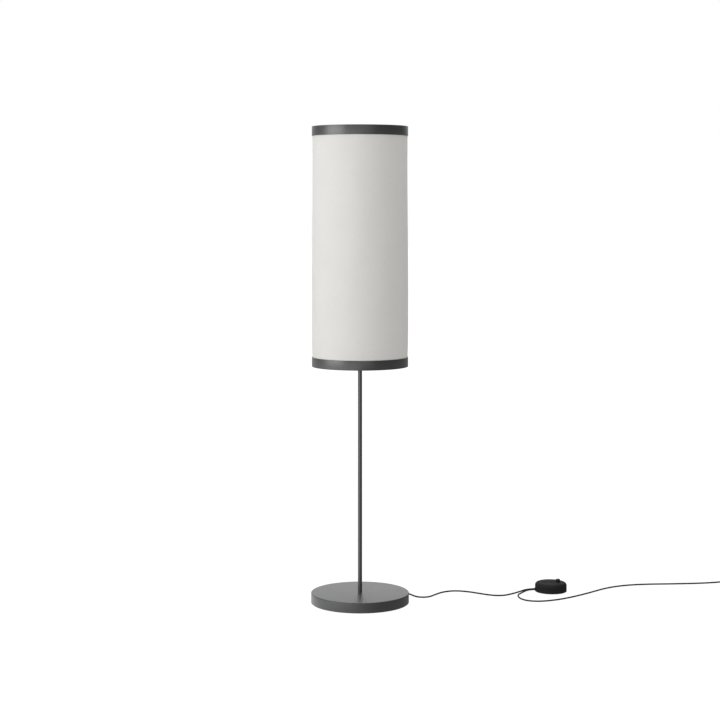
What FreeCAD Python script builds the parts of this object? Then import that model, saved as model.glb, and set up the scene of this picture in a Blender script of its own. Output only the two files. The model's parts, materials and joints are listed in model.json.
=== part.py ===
"""Column floor lamp: a round weighted base, a slim pole, and a tall fabric shade between two steel bands.
A lead runs from the base to a round foot dimmer with a slider, and on to a coil and a two-pin plug.

Millimetres, +Z up, +Y to the back. The origin is on the floor, under the middle of the pole.
"""

import FreeCAD, Part
import math
import os
import re

import Sketcher

V = FreeCAD.Vector

# Driving dimensions, in millimetres and degrees. Heights ending in _low, _top or _height stand on the floor.
SIZES = {
    # whole lamp
    "lamp_height": 1238.0,
    "shade_low": 615.0,
    "fit": 0.05,  # radial room of a pressed or glued seat
    "bolt_play": 0.15,  # radial room round a bolt or thread
    "seat_gap": 0.1,  # room between a piece and the wall that it is welded or glued to
    "end_room": 1.0,  # room beyond the end of a thread or a lead
    # base
    "base_radius": 127.25,
    "base_top": 27.0,
    "cover_wall": 1.5,
    "cover_round": 2.0,
    "cover_low": 1.2,
    "pad_height": 2.0,
    "pad_inset": 2.0,
    "plate_wall": 1.2,
    "plate_gap": 0.6,
    "weight_web": 7.4,
    "weight_gap": 0.5,
    "rim_width": 22.0,
    "base_screw_angle": 60.0,  # of the first screw, from the lamp's back
    "base_screw_count": 3,
    "base_screw_radius": 1.6,
    "base_screw_long": 10.0,
    "base_screw_head": 3.5,
    "base_screw_head_height": 1.4,
    # lead and its gland
    "cord_radius": 2.0,
    "cord_play": 0.15,
    "cord_rest": 2.2,  # height of a lying cord's centre
    "gland_height": 9.0,
    "gland_neck": 3.9,
    "gland_flange": 5.4,
    "gland_flange_wall": 1.8,
    "gland_long": 24.0,
    "gland_tip": 2.9,
    "cord_straight": 16.0,  # how far the cord runs on in line with the gland
    "lead_low": 5.4,
    "lead_bend": 5.6,
    "lead_ease": 12.0,
    "lead_slope_in": 80.75,  # from the base's edge to where the lead has sunk to its low run
    "lead_slope_out": 50.75,  # and to where it starts to sink
    "clamp_inset": 37.75,
    "clamp_long": 9.0,
    "clamp_width": 26.0,
    "clamp_wall": 1.6,
    "clamp_screw_apart": 17.0,
    "small_screw_radius": 1.4,
    "small_screw_head": 2.7,
    "small_screw_head_height": 1.5,
    "small_screw_long": 8.0,
    # pole, studs and nuts
    "pole_radius": 5.5,
    "pole_wall": 0.9,
    "stud_radius": 4.0,
    "stud_grip": 25.0,
    "lead_bore": 2.5,
    "nut_across": 13.0,
    "nut_height": 5.0,
    "washer_radius": 9.0,
    "washer_wall": 1.0,
    "stem_bore": 3.5,
    "stem_long": 236.0,
    "stem_thread": 13.0,
    # shade
    "band_radius": 125.0,
    "band_height": 25.0,
    "band_wall": 1.5,
    "ring_width": 9.0,
    "ring_wall": 2.0,
    "carrier_inset": 3.0,
    "top_ring_inset": 6.0,
    "arm_width": 14.0,
    "arm_count": 3,
    "hub_radius": 20.0,
    "rod_radius": 2.0,
    "rod_inset": 1.7,
    "fabric_wall": 0.8,
    "fabric_tuck": 13.0,
    # how far the cloth stands out beyond its edges, at heights over the shade's foot and drops from its top
    "fabric_shoulder": 1.5,
    "fabric_shoulder_height": 75.0,
    "fabric_belly": 1.7,
    "fabric_belly_height": 220.0,
    "fabric_turn": 0.2,
    "fabric_turn_drop": 205.0,
    "fabric_waist": 0.35,  # drawn in, not out
    "fabric_waist_drop": 105.0,
    # lampholder
    "holder_thread": 5.0,
    "holder_thread_long": 9.0,
    "holder_neck": 8.5,
    "holder_radius": 20.5,
    "holder_wall": 2.2,
    "holder_cap_height": 24.0,
    "holder_skirt": 6.0,
    "holder_shoulder": 12.0,
    "holder_spigot": 6.0,
    "holder_body_height": 28.0,
    "holder_bore": 15.0,
    "block_height": 10.0,
    "wire_hole": 1.25,
    "wire_hole_deep": 5.0,
    "wire_apart": 15.0,
    "sleeve_wall": 0.5,
    "sleeve_height": 21.0,
    "contact_radius": 2.4,
    "contact_button": 1.2,
    "contact_height": 1.6,
    "contact_step": 0.8,
    # light bulb
    "bulb_cap_radius": 13.2,
    "bulb_cap_wall": 0.5,
    "bulb_cap_height": 22.0,
    "bulb_cap_taper": 4.4,
    "bulb_tip_radius": 4.5,
    "bulb_tip_face": 2.25,
    "bulb_tip_height": 1.5,
    "bulb_radius": 30.0,
    "bulb_mouth": 29.0,
    "bulb_collar_height": 32.0,
    "bulb_collar_neck": 14.2,
    "bulb_collar_grip": 7.3,
    "bulb_collar_wall": 3.0,
    "bulb_globe_wall": 1.5,
    "led_board_wall": 1.6,
    # foot dimmer
    "dimmer_x": 511.0,
    "dimmer_y": 129.5,
    "dimmer_radius": 42.2,
    "dimmer_top": 24.9,
    "dimmer_split": 10.0,
    "dimmer_low": 0.6,
    "dimmer_wall": 2.0,
    "dimmer_round": 8.0,
    "dimmer_low_round": 1.5,
    "foot_height": 1.5,
    "foot_radius": 4.5,
    "foot_inset": 12.0,
    "foot_angle": 45.0,
    "foot_count": 4,
    "slot_width": 5.0,
    "slider_rest": 19.0,
    "slider_travel": 38.0,
    "knob_radius": 5.5,
    "knob_height": 7.9,
    "knob_air": 0.3,
    "neck_long": 6.0,
    "neck_width": 4.2,
    "neck_depth": 5.0,
    "lever_long": 4.0,
    "lever_grip": 2.5,  # how far it reaches into the knob
    "lever_deep": 3.5,  # how far it reaches into the track
    "lever_wall": 1.2,
    "groove_width": 1.6,
    "groove_depth": 0.6,
    "rear_groove_x": -8.0,
    "front_groove_x": 1.5,
    "board_low": 6.5,
    "board_wall": 1.6,
    "board_left": 24.0,
    "board_right": 30.0,
    "board_width": 44.0,
    "post_radius": 2.5,
    "post_x": 20.0,
    "post_y": 18.0,
    "track_long": 52.0,
    "track_width": 8.0,
    "track_height": 7.0,
    "track_slot": 2.0,
    "track_deep": 4.2,
    "case_screw_inset": 9.0,
    "case_screw_boss": 3.4,
    "case_screw_radius": 1.3,
    "case_screw_long": 12.0,
    "case_screw_head": 2.6,
    "case_screw_head_height": 1.4,
    "lid_hole_deep": 6.0,
    "cord_apart": 7.2,
    "entry_height": 6.0,
    "sleeve_radius": 3.0,
    "sleeve_long": 6.0,
    "sleeve_out": 1.5,
    "dimmer_cord_in": 12.0,
    "entry_run": 30.0,  # how far the cords run in line with their sleeves
    "bar_inset": 8.5,
    "bar_long": 4.5,
    "bar_width": 26.0,
    "bar_wall": 2.0,
    "bar_screw_apart": 19.0,
    "pillar_width": 4.5,
    "triac_x": 14.0,
    "triac_y": 13.0,
    "triac_long": 10.0,
    "triac_width": 4.5,
    "triac_height": 7.0,
    "triac_tab_wall": 1.3,
    "triac_tab_height": 9.0,
    "capacitor_x": -10.0,
    "capacitor_y": -13.0,
    "capacitor_long": 13.0,
    "capacitor_width": 6.0,
    "capacitor_height": 8.0,
    "terminals_x": 12.0,
    "terminals_y": -14.0,
    "terminals_long": 14.0,
    "terminals_width": 8.0,
    "terminals_height": 7.0,
    "terminal_apart": 7.0,
    "terminal_screw": 1.6,
    "terminal_deep": 2.0,
    "choke_x": -12.0,
    "choke_y": 13.0,
    "choke_radius": 5.6,
    "choke_core": 2.6,
    # coil, tail and plug
    "coil_x": 1036.0,
    "coil_y": 208.0,
    "coil_inner": 18.0,
    "coil_pitch": 4.5,
    "coil_rise": 4.5,
    "coil_lift": 1.0,
    "coil_turns": 2,  # turns in each layer
    "coil_layers": 4,
    "coil_climb": 0.5,  # turns that it takes to climb a layer
    "coil_exit": 0.25,  # a last part of a turn, which points the end to the front
    "coil_run": 30.0,  # how far the cord runs in line with the coil's start
    "tie_wall": 0.8,
    "tie_width": 5.0,
    "tie_room": 0.2,
    "tie_angle": 225.0,
    "tail_run": 16.0,  # level out of the coil
    "tail_drop": 32.0,  # then down to the plug's height
    "tail_level": 11.0,  # then level to the plug's relief
    "cord_grip": 13.0,  # how far the relief holds the cord
    "plug_height": 6.9,
    "relief_long": 24.0,
    "relief_thick": 4.8,
    "relief_taper": 1.6,
    "plug_long": 36.0,
    "plug_width": 35.3,
    "plug_depth": 13.7,
    "plug_nose_width": 26.0,
    "plug_shoulder": 16.2,
    "plug_round": 4.0,
    "pin_apart": 18.6,
    "pin_radius": 2.0,
    "pin_long": 19.0,
    "pin_sleeve_radius": 1.75,
    "pin_sleeve_long": 10.0,
    "pin_core": 1.5,
    "pin_point": 0.6,
}

# A corner's arc takes up this share of the shorter run beside it.
CORNER_SHARE = 0.45

# Points of the lying cords, from behind the base to the dimmer and from the dimmer to the coil (x, y, z).
# Their first two and last two points come from the pieces that they meet.
CORD_TO_DIMMER = [
    (19, 201, 2.2),
    (56, 205, 2.2),
    (88, 184, 2.2),
    (107, 147, 2.2),
    (121, 109, 2.2),
    (137, 75, 2.2),
    (152.5, 49, 2.2),
    (180.5, 49.5, 2.2),
    (199, 80, 2.2),
    (220, 111, 2.2),
    (251, 127, 2.2),
    (286, 117, 2.2),
    (319, 92, 2.2),
    (350, 70, 2.2),
    (379, 68, 2.2),
    (402, 87.5, 2.2),
    (423, 110, 2.6),
]
CORD_TO_COIL = [
    (432, 103, 2.6),
    (417, 77, 2.2),
    (418, 38, 2.2),
    (434, 9, 2.2),
    (465, 0, 2.2),
    (500, 11, 2.2),
    (538, 34, 2.2),
    (580, 71, 2.2),
    (618, 110, 2.2),
    (655, 151, 2.2),
    (692, 179, 2.2),
    (735, 198, 2.2),
    (785, 207, 2.2),
    (842, 210, 2.2),
    (900, 215, 2.2),
    (953, 223, 2.2),
]

doc = FreeCAD.newDocument("floor_lamp")
sheet = doc.addObject("Spreadsheet::Sheet", "sizes")
for row, (alias, number) in enumerate(SIZES.items(), start=1):
    sheet.set(f"A{row}", alias)
    sheet.set(f"B{row}", str(number))
    sheet.setAlias(f"B{row}", alias)
doc.recompute()

nodes = []


# --- small tools -----------------------------------------------------------------------------------------


def full(text):
    """An expression with each plain name written as a cell of the sheet."""
    return re.sub(r"[a-z_]+", lambda word: "sizes." + word[0] if word[0] in SIZES else word[0], text)


def size(text):
    """The value of an expression on the driving dimensions."""
    return float(sheet.evalExpression(full(text)))


def bind(thing, field, text):
    """Ties a property of an object to an expression on the driving dimensions."""
    thing.setExpression(field, full(text))


def place(thing, x="0", y="0", z="0", yaw="0", pitch="0", roll="0"):
    """Ties an object's place and turn to expressions."""
    bind(thing, "Placement", f"placement(vector({x}; {y}; {z}); rotation({yaw}; {pitch}; {roll}))")


def keep(thing, label):
    """Lists an object as one of the lamp's pieces; its label names its file."""
    thing.Label = label
    nodes.append(thing)
    return thing


def origin_part(body, role):
    """One of a body's own origin planes or axes."""
    return next(part for part in body.Origin.OriginFeatures if part.Role == role)


def pin_down(sketch, edge, end, x, y):
    """Dimensions an end (1, 2) or the middle (3) of a sketch edge from the sketch's origin."""
    for kind, text in (("DistanceX", x), ("DistanceY", y)):
        if text is None:
            continue
        number = sketch.addConstraint(Sketcher.Constraint(kind, -1, 1, edge, end, size(text)))
        bind(sketch, f"Constraints[{number}]", text)


def set_radius(sketch, edge, text):
    """Dimensions the radius of a sketch's circle or arc."""
    number = sketch.addConstraint(Sketcher.Constraint("Radius", edge, size(text)))
    bind(sketch, f"Constraints[{number}]", text)


def outline(*path):
    """A closed outline through corners (x, y). A corner (x, y, middle_x, middle_y) is reached by an arc about
    that middle instead of a line."""

    def draw(sketch):
        corners = [V(size(corner[0]), size(corner[1]), 0) for corner in path]
        first, count = sketch.GeometryCount, len(path)
        for index, corner in enumerate(path):
            start, end = corners[index - 1], corners[index]
            if len(corner) == 2:
                sketch.addGeometry(Part.LineSegment(start, end))
            else:
                middle = V(size(corner[2]), size(corner[3]), 0)
                outward = ((start + end) * 0.5 - middle).normalize() * (end - middle).Length
                ends = [start, end]
                if (start - middle).cross(end - middle).z < 0:
                    ends.reverse()  # a sketch keeps its arcs anticlockwise
                sketch.addGeometry(Part.Arc(ends[0], middle + outward, ends[1]))
        for index, corner in enumerate(path):
            edge, following = first + index, first + (index + 1) % count
            ends = []
            for number in (edge, following):
                at_start = (sketch.Geometry[number].StartPoint - corners[index]).Length < 1e-6
                ends.append(1 if at_start else 2)
            sketch.addConstraint(Sketcher.Constraint("Coincident", edge, ends[0], following, ends[1]))
            pin_down(sketch, edge, ends[0], corner[0], corner[1])
            if len(corner) == 4:
                chord = corners[index] - corners[index - 1]
                steep = abs(chord.y) >= abs(chord.x)
                pin_down(sketch, edge, 3, corner[2] if steep else None, None if steep else corner[3])

    return draw


def disc(radius, x="0", y="0"):
    """A circle."""

    def draw(sketch):
        edge = sketch.addGeometry(Part.Circle(V(size(x), size(y), 0), V(0, 0, 1), size(radius)))
        pin_down(sketch, edge, 3, x, y)
        set_radius(sketch, edge, radius)

    return draw


def block(length, width, x="0", y="0"):
    """A rectangle about its own middle."""
    low_x, high_x = f"({x}) - ({length}) / 2", f"({x}) + ({length}) / 2"
    low_y, high_y = f"({y}) - ({width}) / 2", f"({y}) + ({width}) / 2"
    return outline((low_x, low_y), (high_x, low_y), (high_x, high_y), (low_x, high_y))


def hexagon(across):
    """A hexagon, measured across its flats."""
    far, near, half = f"{across} / sqrt(3)", f"{across} / sqrt(12)", f"{across} / 2"
    right_half = [(near, f"-{half}"), (far, "0"), (near, half)]
    left_half = [(f"-{near}", half), (f"-{far}", "0"), (f"-{near}", f"-{half}")]
    return outline(*right_half, *left_half)


def sketched(body, name, plane, height, draws):
    """A sketch on one of a body's planes, or at a height over it."""
    sketch = body.newObject("Sketcher::SketchObject", name + "_sketch")
    sketch.AttachmentSupport = [(origin_part(body, plane), "")]
    sketch.MapMode = "FlatFace"
    bind(sketch, "AttachmentOffset.Base.z", height)
    for draw in draws:
        draw(sketch)
    return sketch


def new_body(label, **where):
    """An empty body for one piece, or for a group of like pieces."""
    body = doc.addObject("PartDesign::Body", label)
    body.AllowCompound = True
    place(body, **where)
    return keep(body, label)


def pad(body, name, low, high, *draws, plane="XY_Plane"):
    """Adds material to a body between two heights over a plane."""
    sketch = sketched(body, name, plane, low, draws)
    feature = body.newObject("PartDesign::Pad", name)
    feature.Profile = sketch
    bind(feature, "Length", f"({high}) - ({low})")
    return feature


def cut(body, name, low, high, *draws, plane="XY_Plane"):
    """Takes material from a body between two heights over a plane."""
    sketch = sketched(body, name, plane, low, draws)
    feature = body.newObject("PartDesign::Pocket", name)
    feature.Profile = sketch
    feature.Reversed = True
    bind(feature, "Length", f"({high}) - ({low})")
    return feature


def repeat(body, name, count, *features):
    """Repeats features evenly round a body's Z axis."""
    pattern = body.newObject("PartDesign::PolarPattern", name)
    pattern.Originals = list(features)
    pattern.Axis = (origin_part(body, "Z_Axis"), [""])
    pattern.Angle = 360
    bind(pattern, "Occurrences", count)
    body.Tip = pattern
    return pattern


def turned(label, *path, **where):
    """A turned piece: its outline, as (radius, height), spun round the body's Z axis."""
    body = new_body(label, **where)
    sketch = sketched(body, label, "XZ_Plane", "0", [outline(*path)])
    spin = body.newObject("PartDesign::Revolution", label + "_spin")
    spin.Profile = sketch
    spin.ReferenceAxis = (sketch, ["V_Axis"])
    spin.Angle = 360
    return body


def tube(label, outer, inner, low, high, **where):
    """A turned piece with a plain square section."""
    return turned(label, (inner, low), (outer, low), (outer, high), (inner, high), **where)


def disc_plate(label, radius, low, high, **where):
    """A turned round plate."""
    return turned(label, ("0", low), (radius, low), (radius, high), ("0", high), **where)


def screws(label, head, shank, low, head_height, long, at, count="2", **where):
    """A group of like screws round a body's Z axis, heads down, the first at a given place."""
    body = new_body(label, **where)
    neck = f"({low}) + {head_height}"
    caps = pad(body, label + "_heads", low, neck, disc(head, *at))
    shanks = pad(body, label + "_shanks", neck, f"{neck} + {long}", disc(shank, *at))
    repeat(body, label + "_ring", count, caps, shanks)
    return body


def rounded_path(points, setbacks=None):
    """Straight runs through the points, joined by tangent arcs as large as the runs allow.
    Gives the wire and the arcs' radii."""
    points = [V(*point) for point in points]
    edges, radii, last = [], [], points[0]
    for index in range(1, len(points) - 1):
        back, on = points[index - 1] - points[index], points[index + 1] - points[index]
        setback = setbacks[index - 1] if setbacks else CORNER_SHARE * min(back.Length, on.Length)
        half_turn = (math.pi - back.getAngle(on)) / 2
        radius = setback / math.tan(half_turn)
        start = points[index] + back.normalize() * setback
        end = points[index] + on.normalize() * setback
        towards = ((start + end) * 0.5 - points[index]).normalize()
        middle = points[index] + towards * (radius / math.cos(half_turn) - radius)
        edges += [Part.LineSegment(last, start).toShape(), Part.Arc(start, middle, end).toShape()]
        radii.append(radius)
        last = end
    edges.append(Part.LineSegment(last, points[-1]).toShape())
    return Part.Wire(edges), radii


def cord(label, wire, radius):
    """A round cord along a wire, checked against its section times its length."""
    first = wire.OrderedEdges[0]
    start, heading = first.valueAt(first.FirstParameter), first.tangentAt(first.FirstParameter)
    ring = Part.Wire([Part.Circle(start, heading, radius).toShape()])
    solid = wire.makePipeShell([ring], True, False)
    share = solid.Volume / (math.pi * radius**2 * wire.Length)
    print(f"{label}: length {wire.Length:.1f}, volume over section times length {share:.5f}")
    piece = doc.addObject("Part::Feature", label)
    piece.Shape = solid
    return keep(piece, label)


# --- base ------------------------------------------------------------------------------------------------


CLAMP_AT = "base_radius - clamp_inset"


def make_base():
    """Steel cover over an iron weight, closed below by a plate and a soft pad."""
    hole = "stud_radius + bolt_play"
    inside = "base_top - cover_wall"
    cover = turned(
        "base_cover",
        (hole, inside),
        (hole, "base_top"),
        ("base_radius - cover_round", "base_top"),
        ("base_radius", "base_top - cover_round", "base_radius - cover_round", "base_top - cover_round"),
        ("base_radius", "cover_low"),
        ("base_radius - cover_wall", "cover_low"),
        ("base_radius - cover_wall", inside),
        yaw="90",
    )
    inside_wall, outside_wall = "base_radius - 2 * cover_wall", "base_radius + cover_wall"
    gland_hole = disc("gland_neck + bolt_play", "0", "gland_height")
    cut(cover, "gland_hole", inside_wall, outside_wall, gland_hole, plane="YZ_Plane")

    web = "base_top - cover_wall - weight_web"
    rim = "base_radius - cover_wall - weight_gap"
    floor = "pad_height + plate_wall"
    weight = turned(
        "base_weight",
        (hole, web),
        (hole, inside),
        (rim, inside),
        (rim, floor),
        (f"{rim} - rim_width", floor),
        (f"{rim} - rim_width", web),
        yaw="90",
    )
    boss_low = "gland_height + cord_radius + cord_play"
    pad(weight, "clamp_boss", boss_low, f"{web} + fit", block("clamp_long", "clamp_width", CLAMP_AT))
    notch_high = "gland_height + gland_flange + bolt_play"
    notch_wide = "2 * (gland_flange + bolt_play)"
    notch = block("2 * (cover_wall + weight_gap + rim_width + bolt_play)", notch_wide, "base_radius")
    cut(weight, "gland_notch", floor, notch_high, notch)
    for side in ("-", ""):
        hole_at = disc("small_screw_radius", CLAMP_AT, f"{side}clamp_screw_apart / 2")
        cut(weight, "clamp_hole", boss_low, f"{boss_low} + small_screw_long", hole_at)
    screw_circle = f"({rim} - rim_width / 2)"
    screw_x, screw_y = f"{screw_circle} * cos(base_screw_angle)", f"{screw_circle} * sin(base_screw_angle)"
    screw_hole = disc("base_screw_radius + fit", screw_x, screw_y)
    drilled = cut(weight, "screw_hole", floor, f"{floor} + base_screw_long", screw_hole)
    repeat(weight, "screw_holes", "base_screw_count", drilled)

    plate = disc_plate("base_plate", "base_radius - cover_wall - plate_gap", "pad_height", floor, yaw="90")
    plate_hole = disc("base_screw_radius + bolt_play", screw_x, screw_y)
    drilled = cut(plate, "plate_hole", "pad_height", floor, plate_hole)
    repeat(plate, "plate_holes", "base_screw_count", drilled)

    foot = disc_plate("base_pad", "base_radius - pad_inset", "0", "pad_height", yaw="90")
    punched = cut(foot, "pad_hole", "0", "pad_height", disc("base_screw_head + bolt_play", screw_x, screw_y))
    repeat(foot, "pad_holes", "base_screw_count", punched)

    screws(
        "base_screws",
        "base_screw_head",
        "base_screw_radius",
        "pad_height - base_screw_head_height",
        "base_screw_head_height",
        "base_screw_long",
        (screw_x, screw_y),
        "base_screw_count",
        yaw="90",
    )

    groove_low, groove_high = "(-cover_wall - bolt_play)", "bolt_play"
    turned(
        "cord_gland",
        ("cord_radius + cord_play", f"{groove_low} - gland_flange_wall"),
        ("gland_flange", f"{groove_low} - gland_flange_wall"),
        ("gland_flange", groove_low),
        ("gland_neck", groove_low),
        ("gland_neck", groove_high),
        ("gland_flange", groove_high),
        ("gland_flange", "gland_flange_wall"),
        ("gland_tip", "gland_long"),
        ("cord_radius + cord_play", "gland_long"),
        y="base_radius",
        z="gland_height",
        yaw="90",
        pitch="90",
    )

    clamp_top = "gland_height - cord_radius - cord_play"
    clamp = new_body("lead_clamp", yaw="90")
    bar = block("clamp_long", "clamp_width", CLAMP_AT)
    pad(clamp, "clamp_bar", f"{clamp_top} - clamp_wall", clamp_top, bar)
    for side in ("-", ""):
        hole_at = disc("small_screw_radius + bolt_play", CLAMP_AT, f"{side}clamp_screw_apart / 2")
        cut(clamp, "clamp_bar_hole", f"{clamp_top} - clamp_wall", clamp_top, hole_at)
    screws(
        "lead_clamp_screws",
        "small_screw_head",
        "small_screw_radius - fit",
        f"{clamp_top} - clamp_wall - small_screw_head_height",
        "small_screw_head_height",
        "small_screw_long",
        ("clamp_screw_apart / 2", "0"),
        y=CLAMP_AT,
    )


# --- pole ------------------------------------------------------------------------------------------------


def nut(label, low, **where):
    """A hexagon nut on the stud's thread."""
    body = new_body(label, **where)
    threaded = disc("stud_radius + fit")
    pad(body, label + "_hexagon", low, f"{low} + nut_height", hexagon("nut_across"), threaded)
    return body


def make_pole():
    """A plain tube with a threaded stud in each end. The lead passes through it all."""
    carrier = "shade_low + carrier_inset"
    plate_top = f"{carrier} + ring_wall"
    web = "base_top - cover_wall - weight_web"
    bore = "pole_radius - pole_wall"

    tube("pole", "pole_radius", bore, "base_top", carrier)
    stud_low = f"{web} - washer_wall - nut_height - bolt_play"
    turned(
        "pole_foot_stud",
        ("lead_bore", stud_low),
        ("stud_radius", stud_low),
        ("stud_radius", "base_top"),
        (f"{bore} - fit", "base_top"),
        (f"{bore} - fit", "base_top + stud_grip"),
        ("lead_bore", "base_top + stud_grip"),
    )
    hole = "stud_radius + bolt_play"
    tube("base_washer", "washer_radius", hole, f"{web} - washer_wall", web)
    nut("base_nut", f"{web} - washer_wall - nut_height")

    nut_top = f"{plate_top} + washer_wall + nut_height"
    stud_top = f"{nut_top} + stem_thread"
    turned(
        "pole_head_stud",
        ("lead_bore", f"{carrier} - stud_grip"),
        (f"{bore} - fit", f"{carrier} - stud_grip"),
        (f"{bore} - fit", carrier),
        ("stud_radius", carrier),
        ("stud_radius", stud_top),
        ("lead_bore", stud_top),
    )
    tube("carrier_washer", "washer_radius", hole, plate_top, f"{plate_top} + washer_wall")
    nut("carrier_nut", f"{plate_top} + washer_wall")

    shoulder = f"{nut_top} + stem_long"
    turned(
        "stem",
        ("stud_radius + fit", nut_top),
        ("pole_radius", nut_top),
        ("pole_radius", shoulder),
        ("holder_thread", shoulder),
        ("holder_thread", f"{shoulder} + holder_thread_long"),
        ("stem_bore", f"{shoulder} + holder_thread_long"),
        ("stem_bore", f"{stud_top} + end_room"),
        ("stud_radius + fit", f"{stud_top} + end_room"),
    )
    return shoulder


def make_inner_lead(shoulder):
    """The lead from the base's rear wall, through the clamp, up the pole and into the lampholder."""
    high, low = size("gland_height"), size("lead_low")
    points = [
        (0, size("base_radius"), high),
        (0, size("base_radius - lead_slope_out"), high),
        (0, size("base_radius - lead_slope_in"), low),
        (0, 0, low),
        (0, 0, size(f"{shoulder} + holder_cap_height - holder_spigot - end_room")),
    ]
    wire, radii = rounded_path(points, [size("lead_ease"), size("lead_ease"), size("lead_bend")])
    cord("inner_lead", wire, size("cord_radius"))
    print("inner_lead bends:", " ".join(f"{radius:.1f}" for radius in radii))


# --- shade -----------------------------------------------------------------------------------------------


def fabric_loft(name, sections):
    """A round loft through circles of the given radii at the given heights."""
    circles = []
    for index, (radius, height) in enumerate(sections):
        circle = doc.addObject("Part::Circle", f"{name}_circle_{index}")
        bind(circle, "Radius", radius)
        place(circle, z=height)
        circles.append(circle)
    loft = doc.addObject("Part::Loft", name)
    loft.Sections = circles
    loft.Solid = True
    return loft


def make_shade():
    """Two steel bands, a plate with arms and a ring welded into them, rods between, and the cloth."""
    carrier = "shade_low + carrier_inset"
    ring_low = "lamp_height - top_ring_inset - ring_wall"
    inside = "band_radius - band_wall"
    seat = f"{inside} - seat_gap"

    tube("bottom_band", "band_radius", inside, "shade_low", "shade_low + band_height")
    tube("top_band", "band_radius", inside, "lamp_height - band_height", "lamp_height")
    tube("top_ring", seat, f"{inside} - ring_width", ring_low, f"{ring_low} + ring_wall")

    plate = tube("shade_carrier", seat, f"{inside} - ring_width", carrier, f"{carrier} + ring_wall")
    hub = pad(plate, "hub", carrier, f"{carrier} + ring_wall", disc("hub_radius"))
    reach = f"{inside} - ring_width / 2"
    arm_plan = block("arm_width", reach, "0", f"({reach}) / 2")
    arm = pad(plate, "arm", carrier, f"{carrier} + ring_wall", arm_plan)
    repeat(plate, "arms", "arm_count", arm)
    cut(plate, "hub_hole", carrier, f"{carrier} + ring_wall", disc("stud_radius + bolt_play"))

    rod_at = f"{inside} - fabric_wall - rod_inset - rod_radius"
    rods = new_body("frame_rods")
    rod = pad(rods, "rod", f"{carrier} + ring_wall", ring_low, disc("rod_radius", "0", rod_at))
    repeat(rods, "rods", "arm_count", rod)

    low = "shade_low + band_height - fabric_tuck"
    high = "lamp_height - band_height + fabric_tuck"
    edge = f"{inside} - seat_gap"
    sections = [
        (edge, low),
        (edge, "shade_low + band_height"),
        (f"{edge} + fabric_shoulder", "shade_low + fabric_shoulder_height"),
        (f"{edge} + fabric_belly", "shade_low + fabric_belly_height"),
        (f"{edge} + fabric_turn", "lamp_height - fabric_turn_drop"),
        (f"{edge} - fabric_waist", "lamp_height - fabric_waist_drop"),
        (edge, "lamp_height - band_height"),
        (edge, high),
    ]
    cloth = doc.addObject("Part::Cut", "shade_fabric")
    inner_sections = [(f"{radius} - fabric_wall", height) for radius, height in sections]
    cloth.Base = fabric_loft("cloth_outside", sections)
    cloth.Tool = fabric_loft("cloth_inside", inner_sections)
    keep(cloth, "shade_fabric")


# --- lampholder and light bulb ---------------------------------------------------------------------------


def make_lampholder(shoulder):
    """A screw lampholder on the stem's upper thread."""
    bore = "holder_thread + fit"
    inside = "holder_radius - holder_wall"
    turned(
        "holder_cap",
        (bore, "0"),
        ("holder_neck", "0"),
        ("holder_neck", "holder_skirt"),
        ("holder_radius", "holder_shoulder"),
        ("holder_radius", "holder_cap_height"),
        (inside, "holder_cap_height"),
        (inside, "holder_shoulder + holder_wall"),
        (bore, "holder_skirt + holder_wall"),
        z=shoulder,
    )
    spigot = "holder_cap_height - holder_spigot"
    top = "holder_cap_height + holder_body_height"
    turned(
        "holder_body",
        ("holder_bore", spigot),
        (f"{inside} - seat_gap", spigot),
        (f"{inside} - seat_gap", "holder_cap_height"),
        ("holder_radius", "holder_cap_height"),
        ("holder_radius", top),
        ("holder_bore", top),
        z=shoulder,
    )
    block_top = f"{spigot} + block_height"
    contact_block = disc_plate("holder_block", "holder_bore - fit", spigot, block_top, z=shoulder)
    for side in ("-", ""):
        wire_hole = disc("wire_hole", f"{side}wire_apart / 2")
        cut(contact_block, "wire_hole", spigot, f"{spigot} + wire_hole_deep", wire_hole)
    sleeve, sleeve_top = "holder_bore - fit", f"{block_top} + sleeve_height"
    tube("holder_sleeve", sleeve, f"{sleeve} - sleeve_wall", block_top, sleeve_top, z=shoulder)
    turned(
        "centre_contact",
        ("0", block_top),
        ("contact_radius", block_top),
        ("contact_radius", f"{block_top} + contact_step"),
        ("contact_button", f"{block_top} + contact_height"),
        ("0", f"{block_top} + contact_height"),
        z=shoulder,
    )
    return f"{block_top} + contact_height"


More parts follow.
